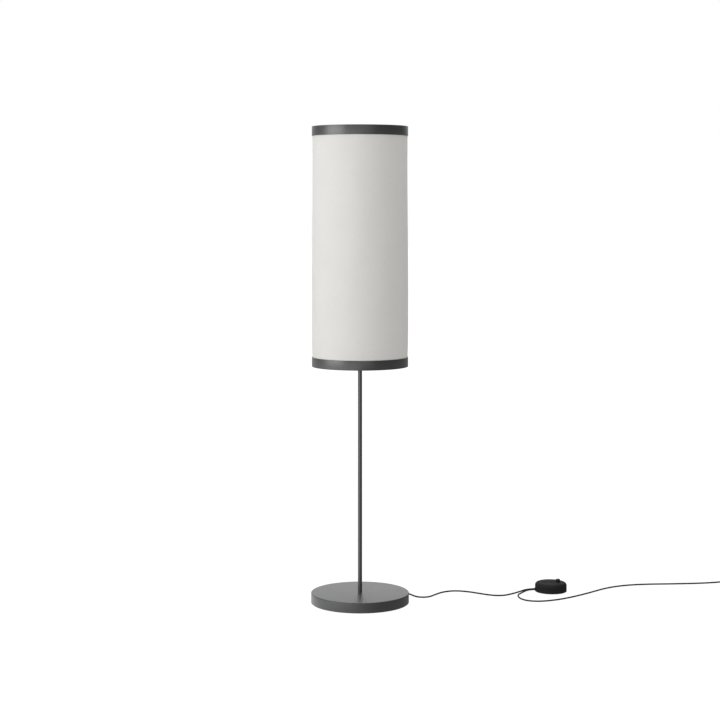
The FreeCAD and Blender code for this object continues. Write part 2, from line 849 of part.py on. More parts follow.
def make_bulb(shoulder, foot):
    """A round bulb with a screw cap, its tip on the holder's middle contact."""
    rest = f"{shoulder} + {foot}"
    tip = "bulb_tip_height"
    cap_top = f"{tip} + bulb_cap_height"
    ridge, root = "bulb_cap_radius", "bulb_cap_radius - bulb_cap_wall"
    turned("bulb_tip", ("0", "0"), ("bulb_tip_face", "0"), ("bulb_tip_radius", tip), ("0", tip), z=rest)
    turned(
        "bulb_cap",
        ("0", tip),
        ("bulb_tip_radius", tip),
        (ridge, f"{tip} + bulb_cap_taper"),
        (ridge, cap_top),
        (root, cap_top),
        (root, f"{tip} + bulb_cap_taper + bulb_cap_wall"),
        ("0", f"{tip} + bulb_cap_wall"),
        z=rest,
    )
    collar_top = f"{cap_top} + bulb_collar_height"
    collar_low = f"{cap_top} - bulb_collar_grip"
    turned(
        "bulb_collar",
        (f"{root} - fit", collar_low),
        (f"{root} - fit", cap_top),
        ("bulb_collar_neck", cap_top),
        ("bulb_mouth", collar_top),
        ("bulb_mouth - bulb_collar_wall", collar_top),
        (f"{root} - bulb_collar_wall", cap_top),
        (f"{root} - bulb_collar_wall", collar_low),
        z=rest,
    )
    inner, mouth = "bulb_radius - bulb_globe_wall", "bulb_mouth - bulb_globe_wall"
    disc_plate("led_board", mouth, collar_top, f"{collar_top} + led_board_wall", z=rest)
    globe = doc.addObject("Part::Cut", "bulb_globe")
    globe.Base = ball_above("globe_outside", "bulb_radius", "bulb_mouth", rest, collar_top)
    globe.Tool = ball_above("globe_inside", inner, mouth, rest, collar_top)
    keep(globe, "bulb_globe")


def ball_above(name, radius, mouth, rest, height):
    """The part of a ball above a flat mouth of the given radius, which lies at a height."""
    ball = doc.addObject("Part::Sphere", name)
    bind(ball, "Radius", radius)
    bind(ball, "Angle1", f"-acos(({mouth}) / ({radius}))")
    place(ball, z=f"{rest} + {height} + sqrt(({radius}) ^ 2 - ({mouth}) ^ 2)")
    return ball


# --- foot dimmer -----------------------------------------------------------------------------------------


# Places in the dimmer, from its middle.
SCREW_AT = ("0", "dimmer_radius - case_screw_inset")
FOOT_AT = (
    "(dimmer_radius - foot_inset) * cos(foot_angle)",
    "(dimmer_radius - foot_inset) * sin(foot_angle)",
)
BAR_X = "bar_inset - dimmer_radius"


def dimmer_body(label):
    """A body that stands where the dimmer stands."""
    return new_body(label, x="dimmer_x", y="dimmer_y")


def make_dimmer_case():
    """A tray and a lid, held by two screws, on four soft feet."""
    here = {"x": "dimmer_x", "y": "dimmer_y"}
    inside = "dimmer_radius - dimmer_wall"
    floor = "dimmer_low + dimmer_wall"
    roof = "dimmer_top - dimmer_wall"
    edge, low_edge = "dimmer_radius - dimmer_round", "dimmer_radius - dimmer_low_round"
    bend_low, bend_top = "dimmer_low + dimmer_low_round", "dimmer_top - dimmer_round"
    tray = turned(
        "dimmer_base",
        ("0", "dimmer_low"),
        (low_edge, "dimmer_low"),
        ("dimmer_radius", bend_low, low_edge, bend_low),
        ("dimmer_radius", "dimmer_split"),
        (inside, "dimmer_split"),
        (inside, floor),
        ("0", floor),
        **here,
    )
    for side_x in ("-", ""):
        for side_y in ("-", ""):
            post = disc("post_radius", f"{side_x}post_x", f"{side_y}post_y")
            pad(tray, "board_post", f"{floor} - fit", "board_low", post)
    boss = pad(tray, "case_boss", f"{floor} - fit", "dimmer_split", disc("case_screw_boss", *SCREW_AT))
    hole = disc("case_screw_radius + bolt_play", *SCREW_AT)
    drilled = cut(tray, "case_hole", "dimmer_low", "dimmer_split", hole)
    recess = disc("case_screw_head + bolt_play", *SCREW_AT)
    sunk = cut(tray, "case_recess", "dimmer_low", "dimmer_low + case_screw_head_height + bolt_play", recess)
    repeat(tray, "case_bosses", "2", boss, drilled, sunk)
    saddle_top = "entry_height - cord_radius - cord_play"
    saddle = block("bar_long", "bar_width", BAR_X)
    pad(tray, "cord_saddle", f"{floor} - fit", saddle_top, saddle)
    hole_end = "-dimmer_radius - sleeve_out + sleeve_long + bolt_play"
    for side in ("-", ""):
        bored = disc("sleeve_radius + fit", f"{side}cord_apart / 2", "entry_height")
        cut(tray, "cord_hole", "-dimmer_radius - dimmer_wall", hole_end, bored, plane="YZ_Plane")
        screw = disc("small_screw_radius", BAR_X, f"{side}bar_screw_apart / 2")
        cut(tray, "bar_hole", floor, saddle_top, screw)
    sunk = cut(tray, "foot_recess", "dimmer_low", "foot_height", disc("foot_radius + fit", *FOOT_AT))
    repeat(tray, "foot_recesses", "foot_count", sunk)

    lid = turned(
        "dimmer_cover",
        ("0", roof),
        (edge, roof),
        (inside, bend_top, edge, bend_top),
        (inside, "dimmer_split"),
        ("dimmer_radius", "dimmer_split"),
        ("dimmer_radius", bend_top),
        (edge, "dimmer_top", edge, bend_top),
        ("0", "dimmer_top"),
        **here,
    )
    slot_long = "slider_travel + neck_long + 2 * knob_air"
    slot = block(slot_long, "slot_width", "slider_rest - slider_travel / 2")
    cut(lid, "slider_slot", roof, "dimmer_top", slot)
    boss = pad(lid, "lid_boss", "dimmer_split", f"{roof} + fit", disc("case_screw_boss", *SCREW_AT))
    hole = disc("case_screw_radius", *SCREW_AT)
    bored = cut(lid, "lid_hole", "dimmer_split", "dimmer_split + lid_hole_deep", hole)
    repeat(lid, "lid_bosses", "2", boss, bored)
    long = "dimmer_radius - dimmer_round - slot_width"
    middle = "(dimmer_radius - dimmer_round + slot_width) / 2"
    rear = block("groove_width", long, "rear_groove_x", middle)
    front = block("groove_width", long, "front_groove_x", f"-({middle})")
    cut(lid, "grooves", "dimmer_top - groove_depth", "dimmer_top", rear, front)

    screws(
        "dimmer_screws",
        "case_screw_head",
        "case_screw_radius - fit",
        "dimmer_low",
        "case_screw_head_height",
        "case_screw_long",
        SCREW_AT,
        **here,
    )
    feet = dimmer_body("dimmer_feet")
    foot = pad(feet, "foot", "0", "foot_height", disc("foot_radius", *FOOT_AT))
    repeat(feet, "feet_ring", "foot_count", foot)


def make_slider():
    """The knob and the lever under it, which slide along X, and the track that they run in."""
    board_top = "board_low + board_wall"
    track_top = f"{board_top} + track_height"
    knob = dimmer_body("slider_knob")
    neck_low = "dimmer_top - neck_depth"
    cap_low = "dimmer_top + knob_air"
    pad(knob, "knob_cap", cap_low, "dimmer_top + knob_height", disc("knob_radius", "slider_rest"))
    neck = block("neck_long", "neck_width", "slider_rest")
    pad(knob, "knob_neck", neck_low, f"{cap_low} + fit", neck)
    lever_hole = block("lever_long + 2 * fit", "lever_wall + 2 * fit", "slider_rest")
    cut(knob, "lever_hole", neck_low, "dimmer_top + lever_grip", lever_hole)

    lever = dimmer_body("slider_lever")
    blade = block("lever_long", "lever_wall", "slider_rest")
    pad(lever, "blade", f"{track_top} - lever_deep", "dimmer_top + lever_grip - fit", blade)

    track = dimmer_body("slide_track")
    middle = "slider_rest - slider_travel / 2"
    pad(track, "track_case", board_top, track_top, block("track_long", "track_width", middle))
    slot = block("slider_travel + lever_long + 2 * knob_air", "track_slot", middle)
    cut(track, "track_slot", f"{track_top} - track_deep", track_top, slot)


def make_dimmer_insides():
    """The board with its pieces, and the bar that holds both cords."""
    board_top = "board_low + board_wall"
    board = dimmer_body("dimmer_board")
    plan = block("board_left + board_right", "board_width", "(board_right - board_left) / 2")
    pad(board, "board", "board_low", board_top, plan)

    triac = dimmer_body("dimmer_triac")
    case = block("triac_long", "triac_width", "triac_x", "triac_y")
    pad(triac, "triac_case", board_top, f"{board_top} + triac_height", case)
    tab = block("triac_long", "triac_tab_wall", "triac_x", "triac_y + (triac_width + triac_tab_wall) / 2")
    pad(triac, "triac_tab", board_top, f"{board_top} + triac_tab_height", tab)

    capacitor = dimmer_body("dimmer_capacitor")
    case = block("capacitor_long", "capacitor_width", "capacitor_x", "capacitor_y")
    pad(capacitor, "capacitor_case", board_top, f"{board_top} + capacitor_height", case)

    terminals = dimmer_body("dimmer_terminals")
    case = block("terminals_long", "terminals_width", "terminals_x", "terminals_y")
    terminals_top = f"{board_top} + terminals_height"
    pad(terminals, "terminal_case", board_top, terminals_top, case)
    for side in ("-", "+"):
        screw = disc("terminal_screw", f"terminals_x {side} terminal_apart / 2", "terminals_y")
        cut(terminals, "terminal_screw", f"{terminals_top} - terminal_deep", terminals_top, screw)

    choke = doc.addObject("Part::Torus", "dimmer_choke")
    bind(choke, "Radius1", "choke_radius")
    bind(choke, "Radius2", "choke_core")
    place(choke, x="dimmer_x + choke_x", y="dimmer_y + choke_y", z=f"{board_top} + choke_core + fit")
    keep(choke, "dimmer_choke")

    pillar_low, bar_low = "entry_height - cord_radius - cord_play", "entry_height + cord_radius + cord_play"
    bar_top = f"{bar_low} + bar_wall"
    bar = dimmer_body("dimmer_cord_bar")
    pad(bar, "bar", bar_low, bar_top, block("bar_long", "bar_width", BAR_X))
    bar_screws = dimmer_body("dimmer_bar_screws")
    for side in ("-", ""):
        at = (BAR_X, f"{side}bar_screw_apart / 2")
        pad(bar, "bar_pillar", pillar_low, f"{bar_low} + fit", block("bar_long", "pillar_width", *at))
        cut(bar, "bar_screw_hole", pillar_low, bar_top, disc("small_screw_radius + bolt_play", *at))
        shank = disc("small_screw_radius - fit", *at)
        pad(bar_screws, "bar_screw_shank", "dimmer_low + dimmer_wall + fit", bar_top, shank)
        head = disc("small_screw_head", *at)
        pad(bar_screws, "bar_screw_head", bar_top, f"{bar_top} + small_screw_head_height", head)

    sleeves = dimmer_body("dimmer_cord_sleeves")
    sleeve_end = "-dimmer_radius - sleeve_out"
    for side in ("-", ""):
        at = (f"{side}cord_apart / 2", "entry_height")
        rings = [disc("sleeve_radius", *at), disc("cord_radius + cord_play", *at)]
        pad(sleeves, "sleeve", sleeve_end, f"{sleeve_end} + sleeve_long", *rings, plane="YZ_Plane")


# --- cords, coil and plug --------------------------------------------------------------------------------


def coil_place(turn):
    """The point of the coil's middle line after so many turns. It winds in and out again, layer on layer,
    and climbs a layer in the half turn where it changes from one to the other."""
    turns, layers, pitch = size("coil_turns"), int(size("coil_layers")), size("coil_pitch")
    climb = size("coil_climb")
    layer = min(int(turn // turns), layers - 1)
    along = turn - layer * turns
    radius = size("coil_inner") + pitch * (along if layer % 2 else turns - along)
    height = size("cord_rest + coil_lift")
    for change in range(1, layers):
        share = min(max((turn - change * turns) / climb + 0.5, 0), 1)
        height += size("coil_rise") * (3 * share**2 - 2 * share**3)
    angle = math.pi / 2 - 2 * math.pi * turn
    return V(size("coil_x") + radius * math.cos(angle), size("coil_y") + radius * math.sin(angle), height)


def coil_heading(turn, last):
    """The direction of the coil's middle line there."""
    step = 1e-4
    return (coil_place(min(turn + step, last)) - coil_place(max(turn - step, 0))).normalize()


def biarc(start, heading, end, heading_end):
    """Two arcs from one point to another that meet both headings."""
    across, both = end - start, heading + heading_end
    spread = 2 * (1 - heading.dot(heading_end))
    reach = (math.sqrt(across.dot(both) ** 2 + spread * across.dot(across)) - across.dot(both)) / spread
    corners = start + heading * reach, end - heading_end * reach
    joint = (corners[0] + corners[1]) * 0.5
    arcs = []
    for first, corner, last in ((start, corners[0], joint), (joint, corners[1], end)):
        inward = ((first - corner).normalize() + (last - corner).normalize()).normalize()
        half_angle = (first - corner).getAngle(inward)
        leg = (first - corner).Length
        radius = leg * math.tan(half_angle)
        arcs.append(Part.Arc(first, corner + inward * (math.hypot(leg, radius) - radius), last).toShape())
    return arcs


def least_gap(wire, diameter):
    """The least room between stretches of a wound cord that aren't neighbours along it."""
    spots = [spot for edge in wire.OrderedEdges for spot in edge.discretize(9)[:-1]]
    lengths, least = [0.0], math.inf
    for before, after in zip(spots, spots[1:]):
        lengths.append(lengths[-1] + (after - before).Length)
    for index, spot in enumerate(spots):
        for other in range(index + 1, len(spots)):
            if lengths[other] - lengths[index] > 3 * diameter:
                least = min(least, (spot - spots[other]).Length - diameter)
    return least


def make_coil():
    """The put-away length, wound in a neat coil; gives its two ends."""
    diameter = size("2 * cord_radius")
    last = size("coil_turns * coil_layers + coil_exit")
    quarters = round(last * 4)
    edges = []
    for quarter in range(quarters):
        here, there = quarter / 4, (quarter + 1) / 4
        headings = coil_heading(here, last), coil_heading(there, last)
        edges += biarc(coil_place(here), headings[0], coil_place(there), headings[1])
    first_heading, last_heading = coil_heading(0, last), coil_heading(last, last)
    start, end = coil_place(0) - first_heading * diameter, coil_place(last) + last_heading * diameter
    edges.insert(0, Part.LineSegment(start, coil_place(0)).toShape())
    edges.append(Part.LineSegment(coil_place(last), end).toShape())
    wire = Part.Wire(edges)
    cord("cord_coil", wire, size("cord_radius"))
    print(f"cord_coil: least gap to itself {least_gap(wire, diameter):.2f}, on points along it")
    return start, first_heading, end, last_heading


def make_tie():
    """A flat tie round the coil's turns."""
    middle = "coil_inner + coil_pitch * coil_turns / 2"
    wide = "coil_pitch * coil_turns + 2 * cord_radius + 2 * tie_room"
    high = "coil_rise * (coil_layers - 1) + 2 * cord_radius + 2 * tie_room"
    tie = new_body("coil_tie", x="coil_x", y="coil_y", z="cord_rest + coil_lift", yaw="tie_angle")
    centre = "coil_rise * (coil_layers - 1) / 2"
    outside = block(f"{wide} + 2 * tie_wall", f"{high} + 2 * tie_wall", middle, centre)
    inside = block(wide, high, middle, centre)
    pad(tie, "tie_band", "-tie_width / 2", "tie_width / 2", outside, inside, plane="XZ_Plane")


def make_plug(tail_end):
    """A flat two-pin plug with its strain relief, lying beside the coil with its pins to the front."""
    here = {"x": str(tail_end.x), "y": str(tail_end.y), "z": "plug_height", "roll": "90"}
    body_low, body_high = "relief_long", "relief_long + plug_long"
    turned(
        "plug_relief",
        ("cord_radius + cord_play", "0"),
        ("relief_thick - relief_taper", "0"),
        ("relief_thick", body_low),
        ("0", body_low),
        ("0", "cord_grip"),
        ("cord_radius + cord_play", "cord_grip"),
        **here,
    )
    half_wide, half_nose = "plug_width / 2", "plug_nose_width / 2"
    shoulder = f"{body_low} + plug_shoulder"
    plan = outline(
        (f"-{half_nose} + plug_round", body_low, f"-{half_nose} + plug_round", f"{body_low} + plug_round"),
        (f"{half_nose} - plug_round", body_low),
        (half_nose, f"{body_low} + plug_round", f"{half_nose} - plug_round", f"{body_low} + plug_round"),
        (half_wide, shoulder),
        (half_wide, body_high),
        (f"-{half_wide}", body_high),
        (f"-{half_wide}", shoulder),
        (f"-{half_nose}", f"{body_low} + plug_round"),
    )
    plug = new_body("plug_body", **here)
    pad(plug, "plug_block", "-plug_depth / 2", "plug_depth / 2", plan, plane="XZ_Plane")

    pins = new_body("plug_pins", **here)
    sleeve_end, pin_end = f"{body_high} + pin_sleeve_long", f"{body_high} + pin_long"
    at = ("pin_apart / 2", "0")
    core = pad(pins, "pin_core", body_high, sleeve_end, disc("pin_core", *at))
    shank = pad(pins, "pin_shank", sleeve_end, f"{pin_end} - pin_point", disc("pin_radius", *at))
    point = pad(pins, "pin_point", f"{pin_end} - pin_point", pin_end, disc("pin_radius - pin_point", *at))
    repeat(pins, "pin_pair", "2", core, shank, point)

    sleeves = new_body("pin_sleeves", **here)
    rings = [disc("pin_sleeve_radius", *at), disc("pin_core + fit", *at)]
    repeat(sleeves, "sleeve_pair", "2", pad(sleeves, "pin_sleeve", body_high, sleeve_end, *rings))


def make_cords():
    """The cords that lie on the floor, with the coil and the plug."""
    coil_start, start_heading, coil_end, end_heading = make_coil()
    make_tie()
    gland_z = size("gland_height")
    base_exit = (0, size("base_radius"), gland_z)
    past_gland = (0, size("base_radius + gland_long + cord_straight"), gland_z)
    entry_x, entry_z = size("dimmer_x - dimmer_radius + dimmer_cord_in"), size("entry_height")
    mouth_x = entry_x - size("entry_run")
    rear_y, front_y = size("dimmer_y + cord_apart / 2"), size("dimmer_y - cord_apart / 2")
    before_coil = coil_start - start_heading * size("coil_run")

    level = coil_end + end_heading * size("tail_run")
    low = V(level.x, level.y - size("tail_drop"), size("plug_height"))
    relief_tip = low - V(0, size("tail_level"), 0)
    make_plug(relief_tip)
    held_end = relief_tip - V(0, size("cord_grip"), 0)

    routes = {
        "cord_to_dimmer": [
            base_exit, past_gland, *CORD_TO_DIMMER, (mouth_x, rear_y, entry_z), (entry_x, rear_y, entry_z)
        ],
        "cord_to_coil": [
            (entry_x, front_y, entry_z), (mouth_x, front_y, entry_z), *CORD_TO_COIL, before_coil, coil_start
        ],
        "cord_to_plug": [coil_end, level, low, held_end],
    }
    for label, points in routes.items():
        wire, radii = rounded_path(points)
        cord(label, wire, size("cord_radius"))
        print(f"{label} bends:", " ".join(f"{radius:.0f}" for radius in radii))


# --- the lamp --------------------------------------------------------------------------------------------

make_base()
stem_top = make_pole()
make_inner_lead(stem_top)
make_shade()
bulb_foot = make_lampholder(stem_top)
make_bulb(stem_top, bulb_foot)
make_dimmer_case()
make_slider()
make_dimmer_insides()
make_cords()
doc.recompute()

failed = [thing.Label for thing in doc.Objects if {"Invalid", "Error"} & set(thing.State)]
if failed:
    raise RuntimeError(f"these failed to compute: {', '.join(failed)}")
broken = [piece.Label for piece in nodes if piece.Shape.isNull() or not piece.Shape.isValid()]
if broken:
    raise RuntimeError(f"these shapes are not valid: {', '.join(broken)}")

os.makedirs("parts", exist_ok=True)
for piece in nodes:
    piece.Shape.exportStep(os.path.join("parts", piece.Label + ".step"))
    print(f"{piece.Label}: {len(piece.Shape.Solids)} solid(s), {piece.Shape.Volume / 1000:.2f} cm3")
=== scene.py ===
"""Looks of the column floor lamp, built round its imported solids.

Sizes are in millimetres, as in the part's source, and meshes are made in metres.
"""

import json
import logging
import math
from dataclasses import dataclass
from enum import Enum
from typing import Callable, Optional, Union

import bmesh
import bpy
from mathutils import Matrix, Vector


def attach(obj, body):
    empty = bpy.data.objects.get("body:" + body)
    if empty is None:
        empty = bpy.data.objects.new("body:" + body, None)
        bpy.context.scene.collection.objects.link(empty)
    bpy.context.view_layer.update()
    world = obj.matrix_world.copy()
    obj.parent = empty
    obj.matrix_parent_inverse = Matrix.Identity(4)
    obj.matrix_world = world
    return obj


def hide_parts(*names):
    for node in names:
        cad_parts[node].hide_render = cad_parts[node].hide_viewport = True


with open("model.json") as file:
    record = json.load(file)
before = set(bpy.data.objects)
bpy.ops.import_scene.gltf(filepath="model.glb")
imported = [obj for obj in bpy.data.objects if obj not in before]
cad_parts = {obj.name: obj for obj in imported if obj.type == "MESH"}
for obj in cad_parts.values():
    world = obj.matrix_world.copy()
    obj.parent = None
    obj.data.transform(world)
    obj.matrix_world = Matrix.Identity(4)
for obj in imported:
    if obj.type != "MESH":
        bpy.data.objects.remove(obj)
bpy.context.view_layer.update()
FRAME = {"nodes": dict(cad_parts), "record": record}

LOG = logging.getLogger("lamp")
MM = 0.001
TURN = 2 * math.pi
Point = tuple[float, float, float]
Profile = list[tuple[float, float]]


# --- nodes ---------------------------------------------------------------------------------------------------


class Sock:
    """An output socket that takes part in Python arithmetic."""

    def __init__(self, tree: "Tree", socket: bpy.types.NodeSocket) -> None:
        """Wraps one socket of a tree."""
        self.tree, self.socket = tree, socket

    def out(self, name: Union[str, int]) -> "Sock":
        """Another output of the same node."""
        return Sock(self.tree, self.socket.node.outputs[name])

    def math(self, operation: str, *values: Union["Sock", float]) -> "Sock":
        """A Math node.

        Args:
            operation: The node's operation.
            values: What goes into its sockets, in order.

        Returns:
            The node's output.
        """
        return self.tree.node("ShaderNodeMath", {"operation": operation}, dict(enumerate(values)))

    def __add__(self, other: Union["Sock", float]) -> "Sock":
        """self + other."""
        return self.math("ADD", self, other)

    def __sub__(self, other: Union["Sock", float]) -> "Sock":
        """self - other."""
        return self.math("SUBTRACT", self, other)

    def __rsub__(self, other: float) -> "Sock":
        """other - self."""
        return self.math("SUBTRACT", other, self)

    def __mul__(self, other: Union["Sock", float]) -> "Sock":
        """self * other."""
        return self.math("MULTIPLY", self, other)

    def __truediv__(self, other: Union["Sock", float]) -> "Sock":
        """self / other."""
        return self.math("DIVIDE", self, other)

    __radd__ = __add__
    __rmul__ = __mul__

    def sine(self) -> "Sock":
        """The sine, in radians."""
        return self.math("SINE", self)

    def size(self) -> "Sock":
        """The absolute value."""
        return self.math("ABSOLUTE", self)

    def step(self, low: float, high: float) -> "Sock":
        """A smooth step.

        Args:
            low: Where it starts, giving 0.
            high: Where it ends, giving 1.

        Returns:
            The step's value.
        """
        values = {"Value": self, "From Min": low, "From Max": high}
        return self.tree.node("ShaderNodeMapRange", {"interpolation_type": "SMOOTHSTEP"}, values)

    def between(self, dark: Point, light: Point) -> "Sock":
        """A colour between two, with this socket as its factor."""
        values = {0: self, 6: (*dark, 1.0), 7: (*light, 1.0)}
        return self.tree.node("ShaderNodeMix", {"data_type": "RGBA"}, values, out=2)


class Tree:
    """A shader or geometry tree whose nodes all come from one method."""

    def __init__(self, tree: bpy.types.NodeTree) -> None:
        """Takes over a tree and empties it."""
        self.tree = tree
        tree.nodes.clear()

    def node(self, kind: str, settings: Optional[dict] = None, values: Optional[dict] = None,
             out: Union[str, int, None] = 0) -> Optional[Sock]:
        """Adds a node.

        Args:
            kind: The node's type.
            settings: Its own settings, set before its sockets.
            values: Values or sockets for its inputs, by name or number.
            out: The output that is given back, or None for a node with none.

        Returns:
            The chosen output.
        """
        made = self.tree.nodes.new(kind)
        for name, value in (settings or {}).items():
            setattr(made, name, value)
        for name, value in (values or {}).items():
            if isinstance(value, Sock):
                self.tree.links.new(value.socket, made.inputs[name])
            else:
                made.inputs[name].default_value = value
        return None if out is None else Sock(self, made.outputs[out])

    def place(self, stretch: Point = (1.0, 1.0, 1.0)) -> Sock:
        """Object coordinates, which are metres in the lamp's frame, stretched if asked."""
        spot = self.node("ShaderNodeTexCoord", out="Object")
        return self.node("ShaderNodeMapping", values={"Vector": spot, "Scale": stretch})

    def noise(self, spot: Sock, cell: float, detail: float = 2.0, rough: float = 0.5) -> Sock:
        """Noise whose cells measure so many millimetres."""
        values = {"Vector": spot, "Scale": 1 / (cell * MM), "Detail": detail, "Roughness": rough}
        return self.node("ShaderNodeTexNoise", values=values)


class Pattern(Tree):
    """A geometry tree with named inputs for its sizes, run once into a plain mesh."""

    SOCKETS = {int: "NodeSocketInt", float: "NodeSocketFloat"}
    BAR_SIDES = 14

    def __init__(self, name: str) -> None:
        """Starts an empty geometry tree.

        Args:
            name: The tree's and the piece's name.
        """
        super().__init__(bpy.data.node_groups.new(name, "GeometryNodeTree"))
        self.name, self.sizes = name, {}
        self.entry = self.tree.nodes.new("NodeGroupInput")

    def size(self, name: str, value: Union[int, float]) -> Sock:
        """A named input.

        Args:
            name: What a maker calls the size.
            value: Its value, lengths in millimetres.

        Returns:
            The input's socket inside the tree.
        """
        made = self.tree.interface.new_socket(name, in_out="INPUT", socket_type=self.SOCKETS[type(value)])
        self.sizes[made.identifier] = value if isinstance(value, int) else value * MM
        return Sock(self, self.entry.outputs[name])

    def row(self, count: Sock, step: Sock) -> Sock:
        """Points in a straight row."""
        return self.node("GeometryNodeMeshLine", values={"Count": count, "Offset": step})

    def ring(self, count: Sock, radius: Sock) -> Sock:
        """Points in a ring about Z."""
        return self.node("GeometryNodeMeshCircle", values={"Vertices": count, "Radius": radius})

    def spread(self, points: Sock, shape: Sock, **values: Sock) -> Sock:
        """One shape on each of the points."""
        inputs = {"Points": points, "Instance": shape} | {name.title(): value for name, value in values.items()}
        return self.node("GeometryNodeInstanceOnPoints", values=inputs)

    def bar(self, length: Sock, radius: Sock) -> Sock:
        """An upright round bar."""
        values = {"Vertices": self.BAR_SIDES, "Radius": radius, "Depth": length}
        return self.node("GeometryNodeMeshCylinder", values=values)

    def along(self, x: Union[Sock, float] = 0.0, y: Union[Sock, float] = 0.0,
              z: Union[Sock, float] = 0.0) -> Sock:
        """A vector from its three parts."""
        return self.node("ShaderNodeCombineXYZ", values={"X": x, "Y": y, "Z": z})

    def moved(self, shape: Sock, step: Sock) -> Sock:
        """A shape moved by a vector."""
        return self.node("GeometryNodeTransform", values={"Geometry": shape, "Translation": step})

    def join(self, *shapes: Sock) -> Sock:
        """Several shapes as one."""
        joined = self.node("GeometryNodeJoinGeometry")
        for shape in shapes:
            self.tree.links.new(shape.socket, joined.socket.node.inputs[0])
        return joined

    def index(self) -> Sock:
        """The number of the point."""
        return self.node("GeometryNodeInputIndex")

    def run(self, shape: Sock, finish: str, place: Matrix) -> bpy.types.Object:
        """Ends the tree, runs it and keeps only its mesh.

        Args:
            shape: The tree's geometry.
            finish: The material slot that it takes.
            place: Where the mesh goes.

        Returns:
            The finished piece, at the origin.
        """
        real = self.node("GeometryNodeRealizeInstances", values={"Geometry": shape})
        dressed = self.node("GeometryNodeSetMaterial", values={"Geometry": real, "Material": material(finish)})
        self.tree.interface.new_socket("Geometry", in_out="OUTPUT", socket_type="NodeSocketGeometry")
        self.node("NodeGroupOutput", values={0: dressed}, out=None)
        host = linked(self.name, bpy.data.meshes.new(self.name + "_host"))
        run = host.modifiers.new(self.name, "NODES")
        run.node_group = self.tree
        for socket, value in self.sizes.items():
            run[socket] = value
        mesh = evaluated(host)
        host.modifiers.clear()
        host.data = mesh
        mesh.transform(place)
        settle(mesh)
        return host


# --- finishes ------------------------------------------------------------------------------------------------


class Grain(Enum):
    """How a surface is broken up close to."""

    PEEL = "soft round cells of sprayed powder"
    CAST = "coarse skin of a sand casting"
    SPARK = "fine even grain of a moulding tool"
    FOAM = "open cells"
    DRAWN = "fine lines along the piece"
    WEAVE = "threads over and under"


